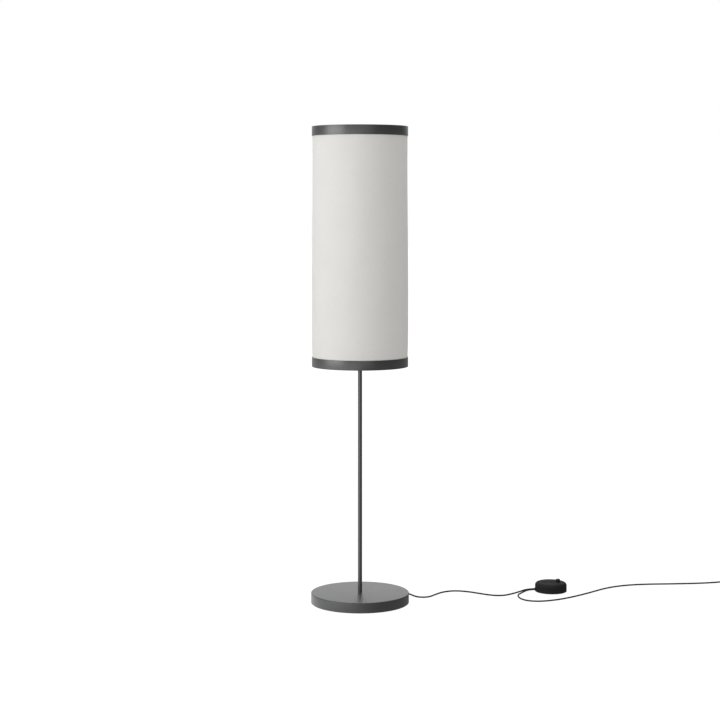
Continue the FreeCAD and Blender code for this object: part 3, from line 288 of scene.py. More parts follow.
@dataclass(frozen=True)
class Finish:
    """One finish, with lengths in millimetres."""

    colour: Point
    rough: float
    grain: Grain
    cell: float
    depth: float
    metal: float = 0.0
    mottle: float = 0.06
    rub: float = 0.06
    blotch: float = 30.0
    coat: float = 0.0
    sheen: float = 0.0
    gloss: float = 0.5
    scuffed: float = 0.0

    DRAWN_STRETCH = 0.03
    SLUB_LONG = 14.0
    COAT_ROUGH = 0.12
    SHEEN_ROUGH = 0.5
    TONE_STEP = (0.25, 0.75)
    WORN_CELL = 5.0
    WORN_STEP = (0.58, 0.66)
    WORN_HEIGHTS = (0.002, 0.009)
    WORN_COLOUR = (0.2, 0.2, 0.2, 1.0)
    WORN_ROUGH = 0.25

    def height(self, tree: Tree) -> Sock:
        """The grain's height.

        Args:
            tree: The material's tree.

        Returns:
            A height from 0 to 1.
        """
        if self.grain is Grain.WEAVE:
            return self.weave(tree)
        if self.grain is Grain.DRAWN:
            return tree.noise(tree.place((1.0, 1.0, self.DRAWN_STRETCH)), self.cell, 3)
        if self.grain is Grain.FOAM:
            values = {"Vector": tree.place(), "Scale": 1 / (self.cell * MM)}
            return tree.node("ShaderNodeTexVoronoi", values=values)
        if self.grain is Grain.CAST:
            return tree.noise(tree.place(), self.cell, 6, 0.62)
        detail = 1.0 if self.grain is Grain.PEEL else 3.0
        return tree.noise(tree.place(), self.cell, detail, 0.6)

    def weave(self, tree: Tree) -> Sock:
        """Plain weave on the piece's own map, whose units are metres."""
        spot = tree.node("ShaderNodeUVMap", {"uv_map": "cloth"})
        across = tree.node("ShaderNodeSeparateXYZ", values={0: spot})
        rate = math.pi / (self.cell * MM)
        warp, weft = (across * rate).sine(), (across.out(1) * rate).sine()
        over = (warp * weft).step(-0.35, 0.35)
        return warp.size() * over + weft.size() * (1.0 - over)

    def slubs(self, tree: Tree) -> Sock:
        """Thick and thin threads, both ways, from 0 to 1."""
        spot = tree.node("ShaderNodeUVMap", {"uv_map": "cloth"})
        thin = self.cell / self.SLUB_LONG
        runs = []
        for scale in ((thin, 1.0, 1.0), (1.0, thin, 1.0)):
            laid = tree.node("ShaderNodeMapping", values={"Vector": spot, "Scale": scale})
            runs.append(tree.noise(laid, self.cell * 1.1, 1))
        return (runs[0] + runs[1]) * 0.5

    def build(self, tree: Tree) -> None:
        """Builds the material's nodes.

        Args:
            tree: The material's tree.
        """
        patch = tree.noise(tree.place(), self.blotch, 3)
        height = self.height(tree)
        tone = patch
        if self.grain is Grain.WEAVE:
            slubs = self.slubs(tree)
            tone = slubs * 0.65 + patch * 0.15 + height * 0.2
            height = height * 0.6 + slubs * 0.8
        colour = tone.step(*self.TONE_STEP).between(
            tuple(part * (1 - self.mottle) for part in self.colour),
            tuple(part * (1 + self.mottle) for part in self.colour))
        rough = self.rough + (patch - 0.5) * self.rub
        if self.scuffed:
            low = tree.node("ShaderNodeSeparateXYZ", values={0: tree.place()}).out(2)
            rubs = tree.noise(tree.place((1.0, 1.0, 6.0)), self.WORN_CELL, 4).step(*self.WORN_STEP)
            worn = rubs * (1.0 - low.step(*self.WORN_HEIGHTS)) * self.scuffed
            rough = rough + worn * self.WORN_ROUGH
            mixed = {0: worn, 6: colour, 7: self.WORN_COLOUR}
            colour = tree.node("ShaderNodeMix", {"data_type": "RGBA"}, mixed, out=2)
        bump = tree.node("ShaderNodeBump", values={"Height": height, "Distance": self.depth * MM})
        shader = tree.node("ShaderNodeBsdfPrincipled", values={
            "Base Color": colour, "Roughness": rough, "Metallic": self.metal, "Normal": bump,
            "Specular IOR Level": self.gloss, "Coat Weight": self.coat, "Coat Roughness": self.COAT_ROUGH,
            "Sheen Weight": self.sheen, "Sheen Roughness": self.SHEEN_ROUGH})
        tree.node("ShaderNodeOutputMaterial", values={"Surface": shader}, out=None)


FINISHES = {
    "painted_steel": Finish((0.031, 0.0315, 0.033), 0.36, Grain.PEEL, 0.9, 0.006, mottle=0.05, gloss=1.0,
                            scuffed=0.2),
    "cast_iron": Finish((0.05, 0.05, 0.05), 0.7, Grain.CAST, 3.0, 0.35, metal=0.4, mottle=0.2, rub=0.2),
    "zinc_steel": Finish((0.62, 0.62, 0.64), 0.3, Grain.DRAWN, 0.5, 0.01, metal=1.0, mottle=0.07, rub=0.15,
                         blotch=9.0),
    "foam_pad": Finish((0.02, 0.02, 0.02), 0.92, Grain.FOAM, 0.6, 0.12, mottle=0.2, blotch=8.0),
    "black_flex": Finish((0.010, 0.010, 0.0105), 0.55, Grain.SPARK, 0.5, 0.006, mottle=0.15, rub=0.1,
                         blotch=12.0, gloss=0.22),
    "black_plastic": Finish((0.018, 0.018, 0.0185), 0.72, Grain.SPARK, 0.35, 0.012, mottle=0.1, blotch=14.0,
                            gloss=0.12),
    "knob_plastic": Finish((0.008, 0.008, 0.0085), 0.5, Grain.SPARK, 0.3, 0.008, mottle=0.1, blotch=6.0,
                           gloss=0.3),
    "shade_cloth": Finish((0.80, 0.79, 0.76), 0.95, Grain.WEAVE, 0.55, 0.16, mottle=0.05, rub=0.04,
                          blotch=60.0, sheen=0.1),
    "white_wire": Finish((0.80, 0.80, 0.78), 0.3, Grain.PEEL, 1.2, 0.01, mottle=0.03, coat=0.3),
    "holder_plastic": Finish((0.03, 0.03, 0.03), 0.22, Grain.SPARK, 0.9, 0.004, mottle=0.1),
    "ceramic": Finish((0.84, 0.83, 0.79), 0.2, Grain.PEEL, 1.6, 0.01, mottle=0.03, coat=0.5),
    "brass": Finish((0.78, 0.60, 0.30), 0.26, Grain.DRAWN, 0.4, 0.008, metal=1.0, mottle=0.08, rub=0.12,
                    blotch=5.0),
    "bulb_metal": Finish((0.77, 0.77, 0.78), 0.28, Grain.DRAWN, 0.5, 0.006, metal=1.0, mottle=0.05, rub=0.12,
                         blotch=6.0),
    "bulb_plastic": Finish((0.86, 0.86, 0.84), 0.4, Grain.SPARK, 0.5, 0.006, mottle=0.02),
    "opal_glass": Finish((0.88, 0.88, 0.86), 0.16, Grain.PEEL, 4.0, 0.004, mottle=0.015, coat=0.6),
    "board_green": Finish((0.05, 0.22, 0.10), 0.3, Grain.DRAWN, 0.8, 0.02, mottle=0.2, blotch=4.0, coat=0.4),
    "component": Finish((0.08, 0.16, 0.30), 0.4, Grain.SPARK, 0.5, 0.01, mottle=0.1, blotch=5.0),
    "pin_metal": Finish((0.72, 0.72, 0.72), 0.22, Grain.DRAWN, 0.35, 0.005, metal=1.0, mottle=0.05, rub=0.12,
                        blotch=5.0),
}


def material(slot: str) -> bpy.types.Material:
    """The material of a slot, built once.

    Args:
        slot: The record's name for the finish.

    Returns:
        The material.
    """
    made = bpy.data.materials.get("finish_" + slot)
    if made is None:
        made = bpy.data.materials.new("finish_" + slot)
        made.use_nodes = True
        FINISHES[slot].build(Tree(made.node_tree))
    return made


# --- meshes --------------------------------------------------------------------------------------------------


def linked(name: str, data: bpy.types.ID) -> bpy.types.Object:
    """A new object in the scene."""
    made = bpy.data.objects.new(name, data)
    bpy.context.scene.collection.objects.link(made)
    return made


def evaluated(piece: bpy.types.Object) -> bpy.types.Mesh:
    """The piece's mesh with its modifiers run."""
    graph = bpy.context.evaluated_depsgraph_get()
    return bpy.data.meshes.new_from_object(piece.evaluated_get(graph), depsgraph=graph)


def settle(mesh: bpy.types.Mesh, crease: float = 32.0) -> None:
    """Merges doubles, turns the faces outwards and shades them smooth between creases.

    Args:
        mesh: The mesh to settle.
        crease: The angle, in degrees, past which an edge is sharp.
    """
    work = bmesh.new()
    work.from_mesh(mesh)
    bmesh.ops.remove_doubles(work, verts=work.verts, dist=1e-6)
    bmesh.ops.dissolve_degenerate(work, edges=work.edges, dist=1e-7)
    bmesh.ops.recalc_face_normals(work, faces=work.faces)
    work.to_mesh(mesh)
    work.free()
    mesh.shade_smooth()
    mesh.set_sharp_from_angle(angle=math.radians(crease))


def dress(piece: bpy.types.Object, slot: str, *replaced: str, body: str = "lamp") -> bpy.types.Object:
    """Gives a piece its finish, its body and the solids that it stands for.

    Args:
        piece: The piece, at the origin.
        slot: The record's name for its finish.
        replaced: The CAD nodes that it replaces.
        body: The body that it rides on.

    Returns:
        The piece.
    """
    piece.data.materials.clear()
    piece.data.materials.append(material(slot))
    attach(piece, body)
    if replaced:
        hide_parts(*replaced)
    LOG.info("%s: %s on %s", piece.name, slot, body)
    return piece


def frame_at(spot: Point, across: Point, along: Point) -> Matrix:
    """A place whose local X and Z point in two given ways.

    Args:
        spot: Its origin, in millimetres.
        across: Where its X points.
        along: Where its Z points.

    Returns:
        The place, in metres.
    """
    x, z = Vector(across).normalized(), Vector(along).normalized()
    turned = Matrix((x, z.cross(x), z)).transposed().to_4x4()
    return Matrix.Translation(Vector(spot) * MM) @ turned


def rounded(corners: list[tuple], steps: int = 5) -> Profile:
    """Rounds the corners of a closed outline.

    Args:
        corners: Points in millimetres, with a third number where the corner has a radius.
        steps: How many faces a rounded corner has.

    Returns:
        The outline's points.
    """
    line: Profile = []
    for index, corner in enumerate(corners):
        here = Vector(corner[:2])
        if len(corner) < 3:
            line.append((here.x, here.y))
            continue
        back = (Vector(corners[index - 1][:2]) - here).normalized()
        on = (Vector(corners[(index + 1) % len(corners)][:2]) - here).normalized()
        half = back.angle(on) / 2
        middle = here + (back + on).normalized() * (corner[2] / math.sin(half))
        start = here + back * (corner[2] / math.tan(half)) - middle
        end = here + on * (corner[2] / math.tan(half)) - middle
        sweep = start.angle_signed(end)
        for step in range(steps + 1):
            spun = start.copy()
            spun.rotate(Matrix.Rotation(-sweep * step / steps, 2))
            line.append((middle.x + spun.x, middle.y + spun.y))
    return line


def skin(name: str, rings: list[list[Vector]], place: Matrix, closed: bool = False) -> bpy.types.Object:
    """Skins rings of points.

    Args:
        name: The piece's name.
        rings: Rings with the same number of points each, in millimetres.
        place: Where the piece goes.
        closed: Whether the last ring joins the first, instead of both being capped.

    Returns:
        The piece.
    """
    count = len(rings[0])
    spots = [point * MM for ring in rings for point in ring]
    pairs = range(len(rings) if closed else len(rings) - 1)
    faces = []
    for low in pairs:
        high = (low + 1) % len(rings)
        for at in range(count):
            on = (at + 1) % count
            faces.append((low * count + at, low * count + on, high * count + on, high * count + at))
    if not closed:
        faces.append(tuple(reversed(range(count))))
        faces.append(tuple(range((len(rings) - 1) * count, len(rings) * count)))
    mesh = bpy.data.meshes.new(name)
    mesh.from_pydata(spots, [], faces)
    mesh.transform(place)
    settle(mesh)
    return linked(name, mesh)


def lathe(name: str, profile: Profile, place: Matrix = Matrix(), sides: int = 160) -> bpy.types.Object:
    """Turns a closed profile about Z.

    Args:
        name: The piece's name.
        profile: Its (radius, height) points in millimetres.
        place: Where the piece goes.
        sides: How many faces go round it.

    Returns:
        The piece.
    """
    angles = [TURN * side / sides for side in range(sides)]
    rings = [[Vector((radius * math.cos(a), radius * math.sin(a), height)) for a in angles]
             for radius, height in profile]
    return skin(name, rings, place, closed=True)


def pill(width: float, depth: float, radius: float, height: float, steps: int = 6) -> list[Vector]:
    """A rectangle with round corners, as a ring for skin()."""
    x, y = width / 2, depth / 2
    corners = [(x, -y, radius), (x, y, radius), (-x, y, radius), (-x, -y, radius)]
    return [Vector((*spot, height)) for spot in rounded(corners, steps)]


def carved(piece: bpy.types.Object, *tools: bpy.types.Object) -> bpy.types.Object:
    """Cuts tools out of a piece and removes them."""
    for tool in tools:
        cut = piece.modifiers.new("cut", "BOOLEAN")
        cut.object, cut.operation, cut.solver = tool, "DIFFERENCE", "EXACT"
    mesh = evaluated(piece)
    piece.modifiers.clear()
    piece.data = mesh
    for tool in tools:
        bpy.data.objects.remove(tool)
    settle(mesh)
    return piece


# --- studio --------------------------------------------------------------------------------------------------


@dataclass
class Lamp:
    """One soft light of the studio, in metres and watts."""

    name: str
    spot: Point
    aim: Point
    wide: float
    tall: float
    power: float

    def build(self) -> None:
        """Hangs the light."""
        data = bpy.data.lights.new(self.name, "AREA")
        data.shape, data.size, data.size_y, data.energy = "RECTANGLE", self.wide, self.tall, self.power
        lamp = linked(self.name, data)
        lamp.location = self.spot
        lamp.rotation_euler = (Vector(self.aim) - Vector(self.spot)).to_track_quat("-Z", "Y").to_euler()


@dataclass
class Studio:
    """Camera, white surroundings, floor and soft lights."""

    eye: Point = (0.0, -4.5185, 1.032)
    tilt: float = 0.591
    lens: float = 86.979
    shift: float = -0.1892
    floor_radius: float = 40.0
    floor_white: float = 0.86
    floor_glow: float = 1.09
    floor_gloss: float = 0.3
    # painted pool of key light: how bright the floor glows in reflections on its left side
    floor_painted_pool_gloss: float = 1.3
    floor_bounce: float = 0.55
    fill: float = 0.36
    side_gloss: float = 0.15
    left_gloss: float = 0.3
    behind_low: float = 0.55
    behind_high: float = 1.06
    rise_heights: tuple[float, float] = (0.0, 0.2)
    left_ways: tuple[float, float] = (0.5, 0.95)
    behind_ways: tuple[float, float] = (0.6, 0.92)
    # where the painted pool of key light lies on the floor, and how much it fades towards the back
    painted_pool_x: tuple[float, float] = (-0.08, 0.15)
    painted_pool_y: tuple[float, float] = (0.1, 1.0)
    painted_pool_fall: float = 0.6
    far_from: tuple[float, float] = (1.2, 3.0)
    floor_grey: float = 0.85
    lights: tuple[Lamp, ...] = (
        Lamp("key", (-3.50, -1.90, 1.4), (0.0, 0.0, 0.75), 3.4, 1.9, 71.0),
        Lamp("front", (0.0, -5.4, 1.7), (0.0, 0.0, 0.75), 6.0, 4.0, 55.0),
        Lamp("top", (0.0, 0.4, 4.2), (0.0, 0.0, 0.0), 3.0, 3.0, 110.0),
    )

    def camera(self) -> None:
        """Sets up the camera at the photograph's angle."""
        data = bpy.data.cameras.new("camera")
        data.lens, data.shift_y = self.lens, self.shift
        data.clip_end = 200.0
        camera = linked("camera", data)
        camera.location = self.eye
        camera.rotation_euler = (math.radians(90 - self.tilt), 0.0, 0.0)
        bpy.context.scene.camera = camera

    def ways(self, tree: Tree) -> tuple[Sock, Sock]:
        """How a ray got here.

        Args:
            tree: The tree that asks.

        Returns:
            1 for a ray from the camera or through glass, and 1 for a ray from a gloss.
        """
        path = tree.node("ShaderNodeLightPath")
        eye = path.math("MAXIMUM", path.out("Is Camera Ray"), path.out("Is Transmission Ray"))
        return eye, path.out("Is Glossy Ray")

    def surroundings(self) -> None:
        """White where it is seen, white behind and grey beside in a gloss, and a plain fill elsewhere."""
        world = bpy.data.worlds.new("surroundings")
        world.use_nodes = True
        bpy.context.scene.world = world
        tree = Tree(world.node_tree)
        eye, gloss = self.ways(tree)
        towards = tree.node("ShaderNodeSeparateXYZ", values={0: tree.node("ShaderNodeTexCoord")})
        rise = towards.out(2).step(*self.rise_heights) * (self.behind_high - self.behind_low) + self.behind_low
        left = (towards.out(0) * -1.0).step(*self.left_ways) * self.left_gloss
        reflected = towards.out(1).step(*self.behind_ways) * rise + left + self.side_gloss
        lit = gloss * reflected + (1.0 - gloss) * self.fill
        white = tree.node("ShaderNodeBackground", values={
            "Color": (1.0, 1.0, 1.0, 1.0), "Strength": eye + (1.0 - eye) * lit})
        tree.node("ShaderNodeOutputWorld", values={"Surface": white}, out=None)

    def floor(self) -> None:
        """A white floor that keeps a faint shadow, and that in reflections shows a painted pool of key light to
        its left.
        """
        mesh = bpy.data.meshes.new("floor")
        work = bmesh.new()
        bmesh.ops.create_circle(work, cap_ends=True, segments=64, radius=self.floor_radius)
        work.to_mesh(mesh)
        work.free()
        floor = linked("floor", mesh)
        made = bpy.data.materials.new("floor")
        made.use_nodes = True
        tree = Tree(made.node_tree)
        matt = tree.node("ShaderNodeBsdfDiffuse", values={"Color": (*[self.floor_grey] * 3, 1.0)})
        glow = tree.node("ShaderNodeEmission", values={
            "Color": (1.0, 1.0, 1.0, 1.0), "Strength": self.floor_glow})
        eye, gloss = self.ways(tree)
        spot = tree.node("ShaderNodeSeparateXYZ", values={0: tree.place()})
        # painted pool of key light, seen only in reflections: the floor's glow is brighter on the left and
        # fades towards the back
        fall = spot.out(1).step(*self.painted_pool_y) * self.painted_pool_fall
        beside = (spot * -1.0).step(*self.painted_pool_x) * (1.0 - fall)
        left = beside * (self.floor_painted_pool_gloss - self.floor_gloss) + self.floor_gloss
        dim = tree.node("ShaderNodeEmission", values={
            "Color": gloss * left + (1.0 - gloss) * self.floor_bounce, "Strength": 1.0})
        away = tree.node("ShaderNodeVectorMath", {"operation": "LENGTH"}, {0: tree.place()}, out="Value")
        far = away.step(*self.far_from)
        share = far * (1 - self.floor_white) + self.floor_white
        seen = tree.node("ShaderNodeMixShader", values={0: share, 1: matt, 2: glow})
        both = tree.node("ShaderNodeMixShader", values={0: eye, 1: dim, 2: seen})
        tree.node("ShaderNodeOutputMaterial", values={"Surface": both}, out=None)
        mesh.materials.append(made)

    def build(self) -> None:
        """Sets up all but the camera."""
        self.surroundings()
        self.floor()
        for light in self.lights:
            light.build()
        bpy.context.scene.view_settings.view_transform = "Standard"


# --- lamp ----------------------------------------------------------------------------------------------------


@dataclass
class Cords:
    """The lead from the base to the foot dimmer, and on to the put-away coil and the plug."""

    radius: float = 2.0
    coil_x: float = 1036.0
    coil_y: float = 208.0
    coil_inner: float = 18.0
    coil_pitch: float = 4.5
    coil_low: float = 3.2
    coil_turns: float = 8.25
    turns_in_layer: int = 2
    layers: int = 4
    steps_in_turn: int = 16
    coil_start: float = 0.25
    climb_turns: float = 0.5
    reach_in: float = 34.0
    close_in: float = 4.0
    reach_out: float = 20.0
    tail_drop: float = 52.0
    into_plug: float = 12.0
    plug_tip: Point = (1064.64, 145.0, 6.9)

    TO_DIMMER = [
        (0, 127.25, 9), (0, 167.25, 9), (19, 201, 2.2), (56, 205, 2.2), (88, 184, 2.2), (107, 147, 2.2),
        (121, 109, 2.2), (137, 75, 2.2), (152.5, 49, 2.2), (180.5, 49.5, 2.2), (199, 80, 2.2),
        (220, 111, 2.2), (251, 127, 2.2), (286, 117, 2.2), (319, 92, 2.2), (350, 70, 2.2), (379, 68, 2.2),
        (402, 87.5, 2.2), (423, 110, 2.6), (450.8, 133.1, 6), (480.8, 133.1, 6),
    ]
    TO_COIL = [
        (480.8, 125.9, 6), (450.8, 125.9, 6), (432, 103, 2.6), (417, 77, 2.2), (418, 38, 2.2), (434, 9, 2.2),
        (465, 0, 2.2), (500, 11, 2.2), (538, 34, 2.2), (580, 71, 2.2), (618, 110, 2.2), (655, 151, 2.2),
        (692, 179, 2.2), (735, 198, 2.2), (785, 207, 2.2), (842, 210, 2.2), (900, 215, 2.2),
        (953, 223, 2.2),
    ]

    def coil_point(self, turn: float) -> Vector:
        """A point of the coil.

        Args:
            turn: How many turns have been wound.

        Returns:
            The cord's centre there.
        """
        layer = min(int(turn // self.turns_in_layer), self.layers - 1)
        along = turn - self.turns_in_layer * layer
        out = along if layer % 2 else self.turns_in_layer - along
        radius = self.coil_inner + self.coil_pitch * out
        height = self.coil_low
        for climb in range(1, self.layers):
            share = min(max((turn - self.turns_in_layer * climb) / self.climb_turns + 0.5, 0.0), 1.0)
            height += self.coil_pitch * share * share * (3 - 2 * share)
        angle = TURN * (self.coil_start - turn)
        spot = (self.coil_x + radius * math.cos(angle), self.coil_y + radius * math.sin(angle), height)
        return Vector(spot)

    def second_route(self) -> list[Vector]:
        """The lead from the dimmer through the coil to the plug."""
        wound = [self.coil_point(step / self.steps_in_turn)
                 for step in range(round(self.coil_turns * self.steps_in_turn) + 1)]
        short = 0.002
        into = (self.coil_point(short) - wound[0]).normalized()
        out = (wound[-1] - self.coil_point(self.coil_turns - short)).normalized()
        tip = Vector(self.plug_tip)
        turn_in = Vector((tip.x, wound[-1].y - self.tail_drop, tip.z))
        tail = [wound[-1] + out * self.reach_out, turn_in, tip, tip - Vector((0, self.into_plug, 0))]
        head = [wound[0] - into * self.reach_in, wound[0] - into * self.close_in]
        return [*map(Vector, self.TO_COIL), *head, *wound, *tail]

    def curve(self, name: str, route: list) -> bpy.types.Object:
        """One smooth cord.

        Args:
            name: The cord's name.
            route: Its control points.

        Returns:
            The cord.
        """
        data = bpy.data.curves.new(name, "CURVE")
        data.dimensions = "3D"
        data.bevel_depth, data.bevel_resolution = self.radius * MM, 5
        data.use_fill_caps = True
        spline = data.splines.new("NURBS")
        spline.points.add(len(route) - 1)
        for point, spot in zip(spline.points, route):
            point.co = (*(Vector(spot) * MM), 1.0)
        spline.order_u = 3
        spline.use_endpoint_u = True
        spline.resolution_u = 10
        return linked(name, data)

    def build(self) -> None:
        """Lays both cords and hides the CAD cords that they replace."""
        thick = 2 * self.radius * MM
        first = dress(self.curve("lead_to_dimmer", self.TO_DIMMER), "black_flex", "cord_to_dimmer")
        second = dress(self.curve("lead_to_plug", self.second_route()), "black_flex",
                       "cord_to_coil", "cord_coil", "cord_to_plug")


@dataclass
class Shade:
    """The cloth tube between its two bands."""

    low: float = 627.0
    high: float = 1226.0
    wall: float = 0.8
    sides: int = 288
    rows: int = 72
    lap: float = 12.0
    lap_step: float = 0.45
    fade: float = 45.0
    tuck: float = 6.0
    band_radius: float = 125.0
    band_height: float = 25.0
    band_wall: float = 1.5
    band_round: float = 0.6
    foot: float = 615.0
    top: float = 1238.0

    KNOTS = [(610.0, 123.4), (627.0, 123.4), (641.0, 123.45), (655.0, 124.1), (692.0, 124.85), (835.0, 125.1),
             (1033.0, 123.6), (1133.0, 123.05), (1205.0, 123.35), (1226.0, 123.4), (1240.0, 123.4)]

    WAVES = [(0.15, 7, 1.3, 0.9, 95, 0), (0.09, 13, 4.1, 1.3, 61, 1), (0.04, 22, 0, 1.7, 43, 0)]

    def radius(self, height: float) -> float:
        """The cloth's radius at a height, on a smooth line through the knots."""
        at = max(index for index in range(1, len(self.KNOTS) - 2) if self.KNOTS[index][0] <= height + 1e-6)
        before, here, there, after = self.KNOTS[at - 1:at + 3]
        long = there[0] - here[0]
        t = (height - here[0]) / long
        lean = (there[1] - before[1]) / (there[0] - before[0]) * long
        lean_on = (after[1] - here[1]) / (after[0] - here[0]) * long
        return ((2 * t**3 - 3 * t**2 + 1) * here[1] + (t**3 - 2 * t**2 + t) * lean
                + (3 * t**2 - 2 * t**3) * there[1] + (t**3 - t**2) * lean_on)

    def ripple(self, angle: float, height: float) -> float:
        """How far the cloth stands in or out of its round, in millimetres.

        Args:
            angle: Round the shade, in radians.
            height: Over the floor.

        Returns:
            The ripple, which dies out at the bands.
        """
        wave = 0.0
        for depth, count, turned, sway, long, start in self.WAVES:
            wave += depth * math.sin(count * angle + turned + sway * math.sin(height / long + start))
        near = min(height - self.foot - self.band_height, self.top - self.band_height - height)
        share = min(max(near / self.fade, 0.0), 1.0)
        return wave * share * share * (3 - 2 * share)

    def cloth(self) -> None:
        """The cloth with its backing, and the lap of its seam at the back."""
        heights = [self.low + (self.high - self.low) * row / self.rows for row in range(self.rows + 1)]
        angles = [TURN * side / self.sides for side in range(self.sides)]
        lap_angle = self.lap / self.band_radius
        rings = []
        for inner, levels in ((False, heights), (True, heights[::-1])):
            for height in levels:
                ring = []
                for angle in angles:
                    radius = self.radius(height) + self.ripple(angle, height)
                    past = (angle - TURN / 4) % TURN
                    if inner:
                        radius -= self.wall
                    elif past < lap_angle:
                        radius += self.lap_step * (1 - past / lap_angle) * min(self.fade_in(height), 1.0)
                    ring.append(Vector((radius * math.cos(angle), radius * math.sin(angle), height)))
                rings.append(ring)
        cloth = skin("shade_cloth", rings, Matrix(), closed=True)
        chart = cloth.data.uv_layers.new(name="cloth")
        for face in cloth.data.polygons:
            spots = [cloth.data.vertices[index].co for index in face.vertices]
            turns = [math.atan2(spot.x, -spot.y) for spot in spots]
            if max(turns) - min(turns) > math.pi:
                turns = [turn + TURN if turn < 0 else turn for turn in turns]
            for loop, spot, turn in zip(face.loop_indices, spots, turns):
                chart.data[loop].uv = (turn * self.band_radius * MM, spot.z)
        dress(cloth, "shade_cloth", "shade_fabric")

    def fade_in(self, height: float) -> float:
        """0 at the bands' inside, growing to 1 a little past their edges."""
        near = min(height - self.foot - self.band_height, self.top - self.band_height - height)
        return max(near / self.tuck + 1.0, 0.0)

    def band(self, name: str, low: float) -> None:
        """A steel band with soft edges.

        Args:
            name: The node that it replaces.
            low: The height of its foot.
        """
        inside, high = self.band_radius - self.band_wall, low + self.band_height
        profile = rounded([
            (self.band_radius, low, self.band_round), (self.band_radius, high, self.band_round),
            (inside, high, self.band_round), (inside, low, self.band_round)], 4)
        dress(lathe(name + "_rolled", profile, sides=256), "painted_steel", name)

    def build(self) -> None:
        """Builds the cloth and both bands."""
        self.cloth()
        self.band("bottom_band", self.foot)
        self.band("top_band", self.top - self.band_height)


@dataclass(frozen=True)
class Ribs:
    """Rings round a tapered sleeve, in millimetres."""

    name: str
    count: int
    first: float
    last: float
    pitch: float
    thick: float = 0.55

    def build(self, place: Matrix) -> None:
        """Sets the rings.

        Args:
            place: Where the first ring goes.
        """
        tree = Pattern(self.name)
        number, wide = tree.size("Count", self.count), tree.size("First Radius", self.first)
        narrow, step = tree.size("Last Radius", self.last), tree.size("Pitch", self.pitch)
        thick = tree.size("Thickness", self.thick)
        circle = tree.node("GeometryNodeCurvePrimitiveCircle", values={"Resolution": 48, "Radius": wide})
        section = tree.node("GeometryNodeCurvePrimitiveCircle", values={"Resolution": 10, "Radius": thick})
        hoop = tree.node("GeometryNodeCurveToMesh", values={"Curve": circle, "Profile Curve": section})
        share = tree.index() / (number - 1.0)
        shrunk = 1.0 - share * (1.0 - narrow / wide)
        spots = tree.row(number, tree.along(z=step))
        rings = tree.spread(spots, hoop, scale=tree.along(shrunk, shrunk, 1.0))
        dress(tree.run(rings, "black_plastic", place), "black_plastic")


@dataclass(frozen=True)
class CrossScrews:
    """Screws in a ring, heads down, each with a cross recess, in millimetres."""

    name: str
    count: int
    ring: float
    head: float
    deep: float
    shank: float
    long: float
    taper: float = 0.82
    slot_long: float = 1.25
    slot_wide: float = 0.26
    slot_deep: float = 1.3

    def build(self, place: Matrix, replaced: str) -> None:
        """Sets the screws.

        Args:
            place: Where the ring's centre goes, at the heads' undersides.
            replaced: The CAD node that they stand for.
        """
        tree = Pattern(self.name)
        number, circle = tree.size("Count", self.count), tree.size("Circle Radius", self.ring)
        wide, high = tree.size("Head Radius", self.head), tree.size("Head Height", self.deep)
        thin, length = tree.size("Shank Radius", self.shank), tree.size("Shank Length", self.long)
        cap = tree.node("GeometryNodeMeshCone", values={
            "Vertices": 40, "Radius Top": wide, "Radius Bottom": wide * self.taper, "Depth": high})
        slots = []
        for x, y in ((self.slot_long, self.slot_wide), (self.slot_wide, self.slot_long)):
            size = tree.along(wide * x, wide * y, high * self.slot_deep)
            slots.append(tree.node("GeometryNodeMeshCube", values={"Size": size}))
        sunk = tree.moved(tree.join(*slots), tree.along(z=high * -0.5))
        cut = tree.node("GeometryNodeMeshBoolean", {"operation": "DIFFERENCE", "solver": "EXACT"},
                        {"Mesh 1": cap, "Mesh 2": sunk, "Self Intersection": True})
        body = tree.moved(tree.bar(length, thin), tree.along(z=(length + high) * 0.5))
        screws = tree.spread(tree.ring(number, circle), tree.join(cut, body))
        made = tree.run(screws, "zinc_steel", place @ Matrix.Translation((0, 0, self.deep * MM / 2)))
        dress(made, "zinc_steel", replaced)


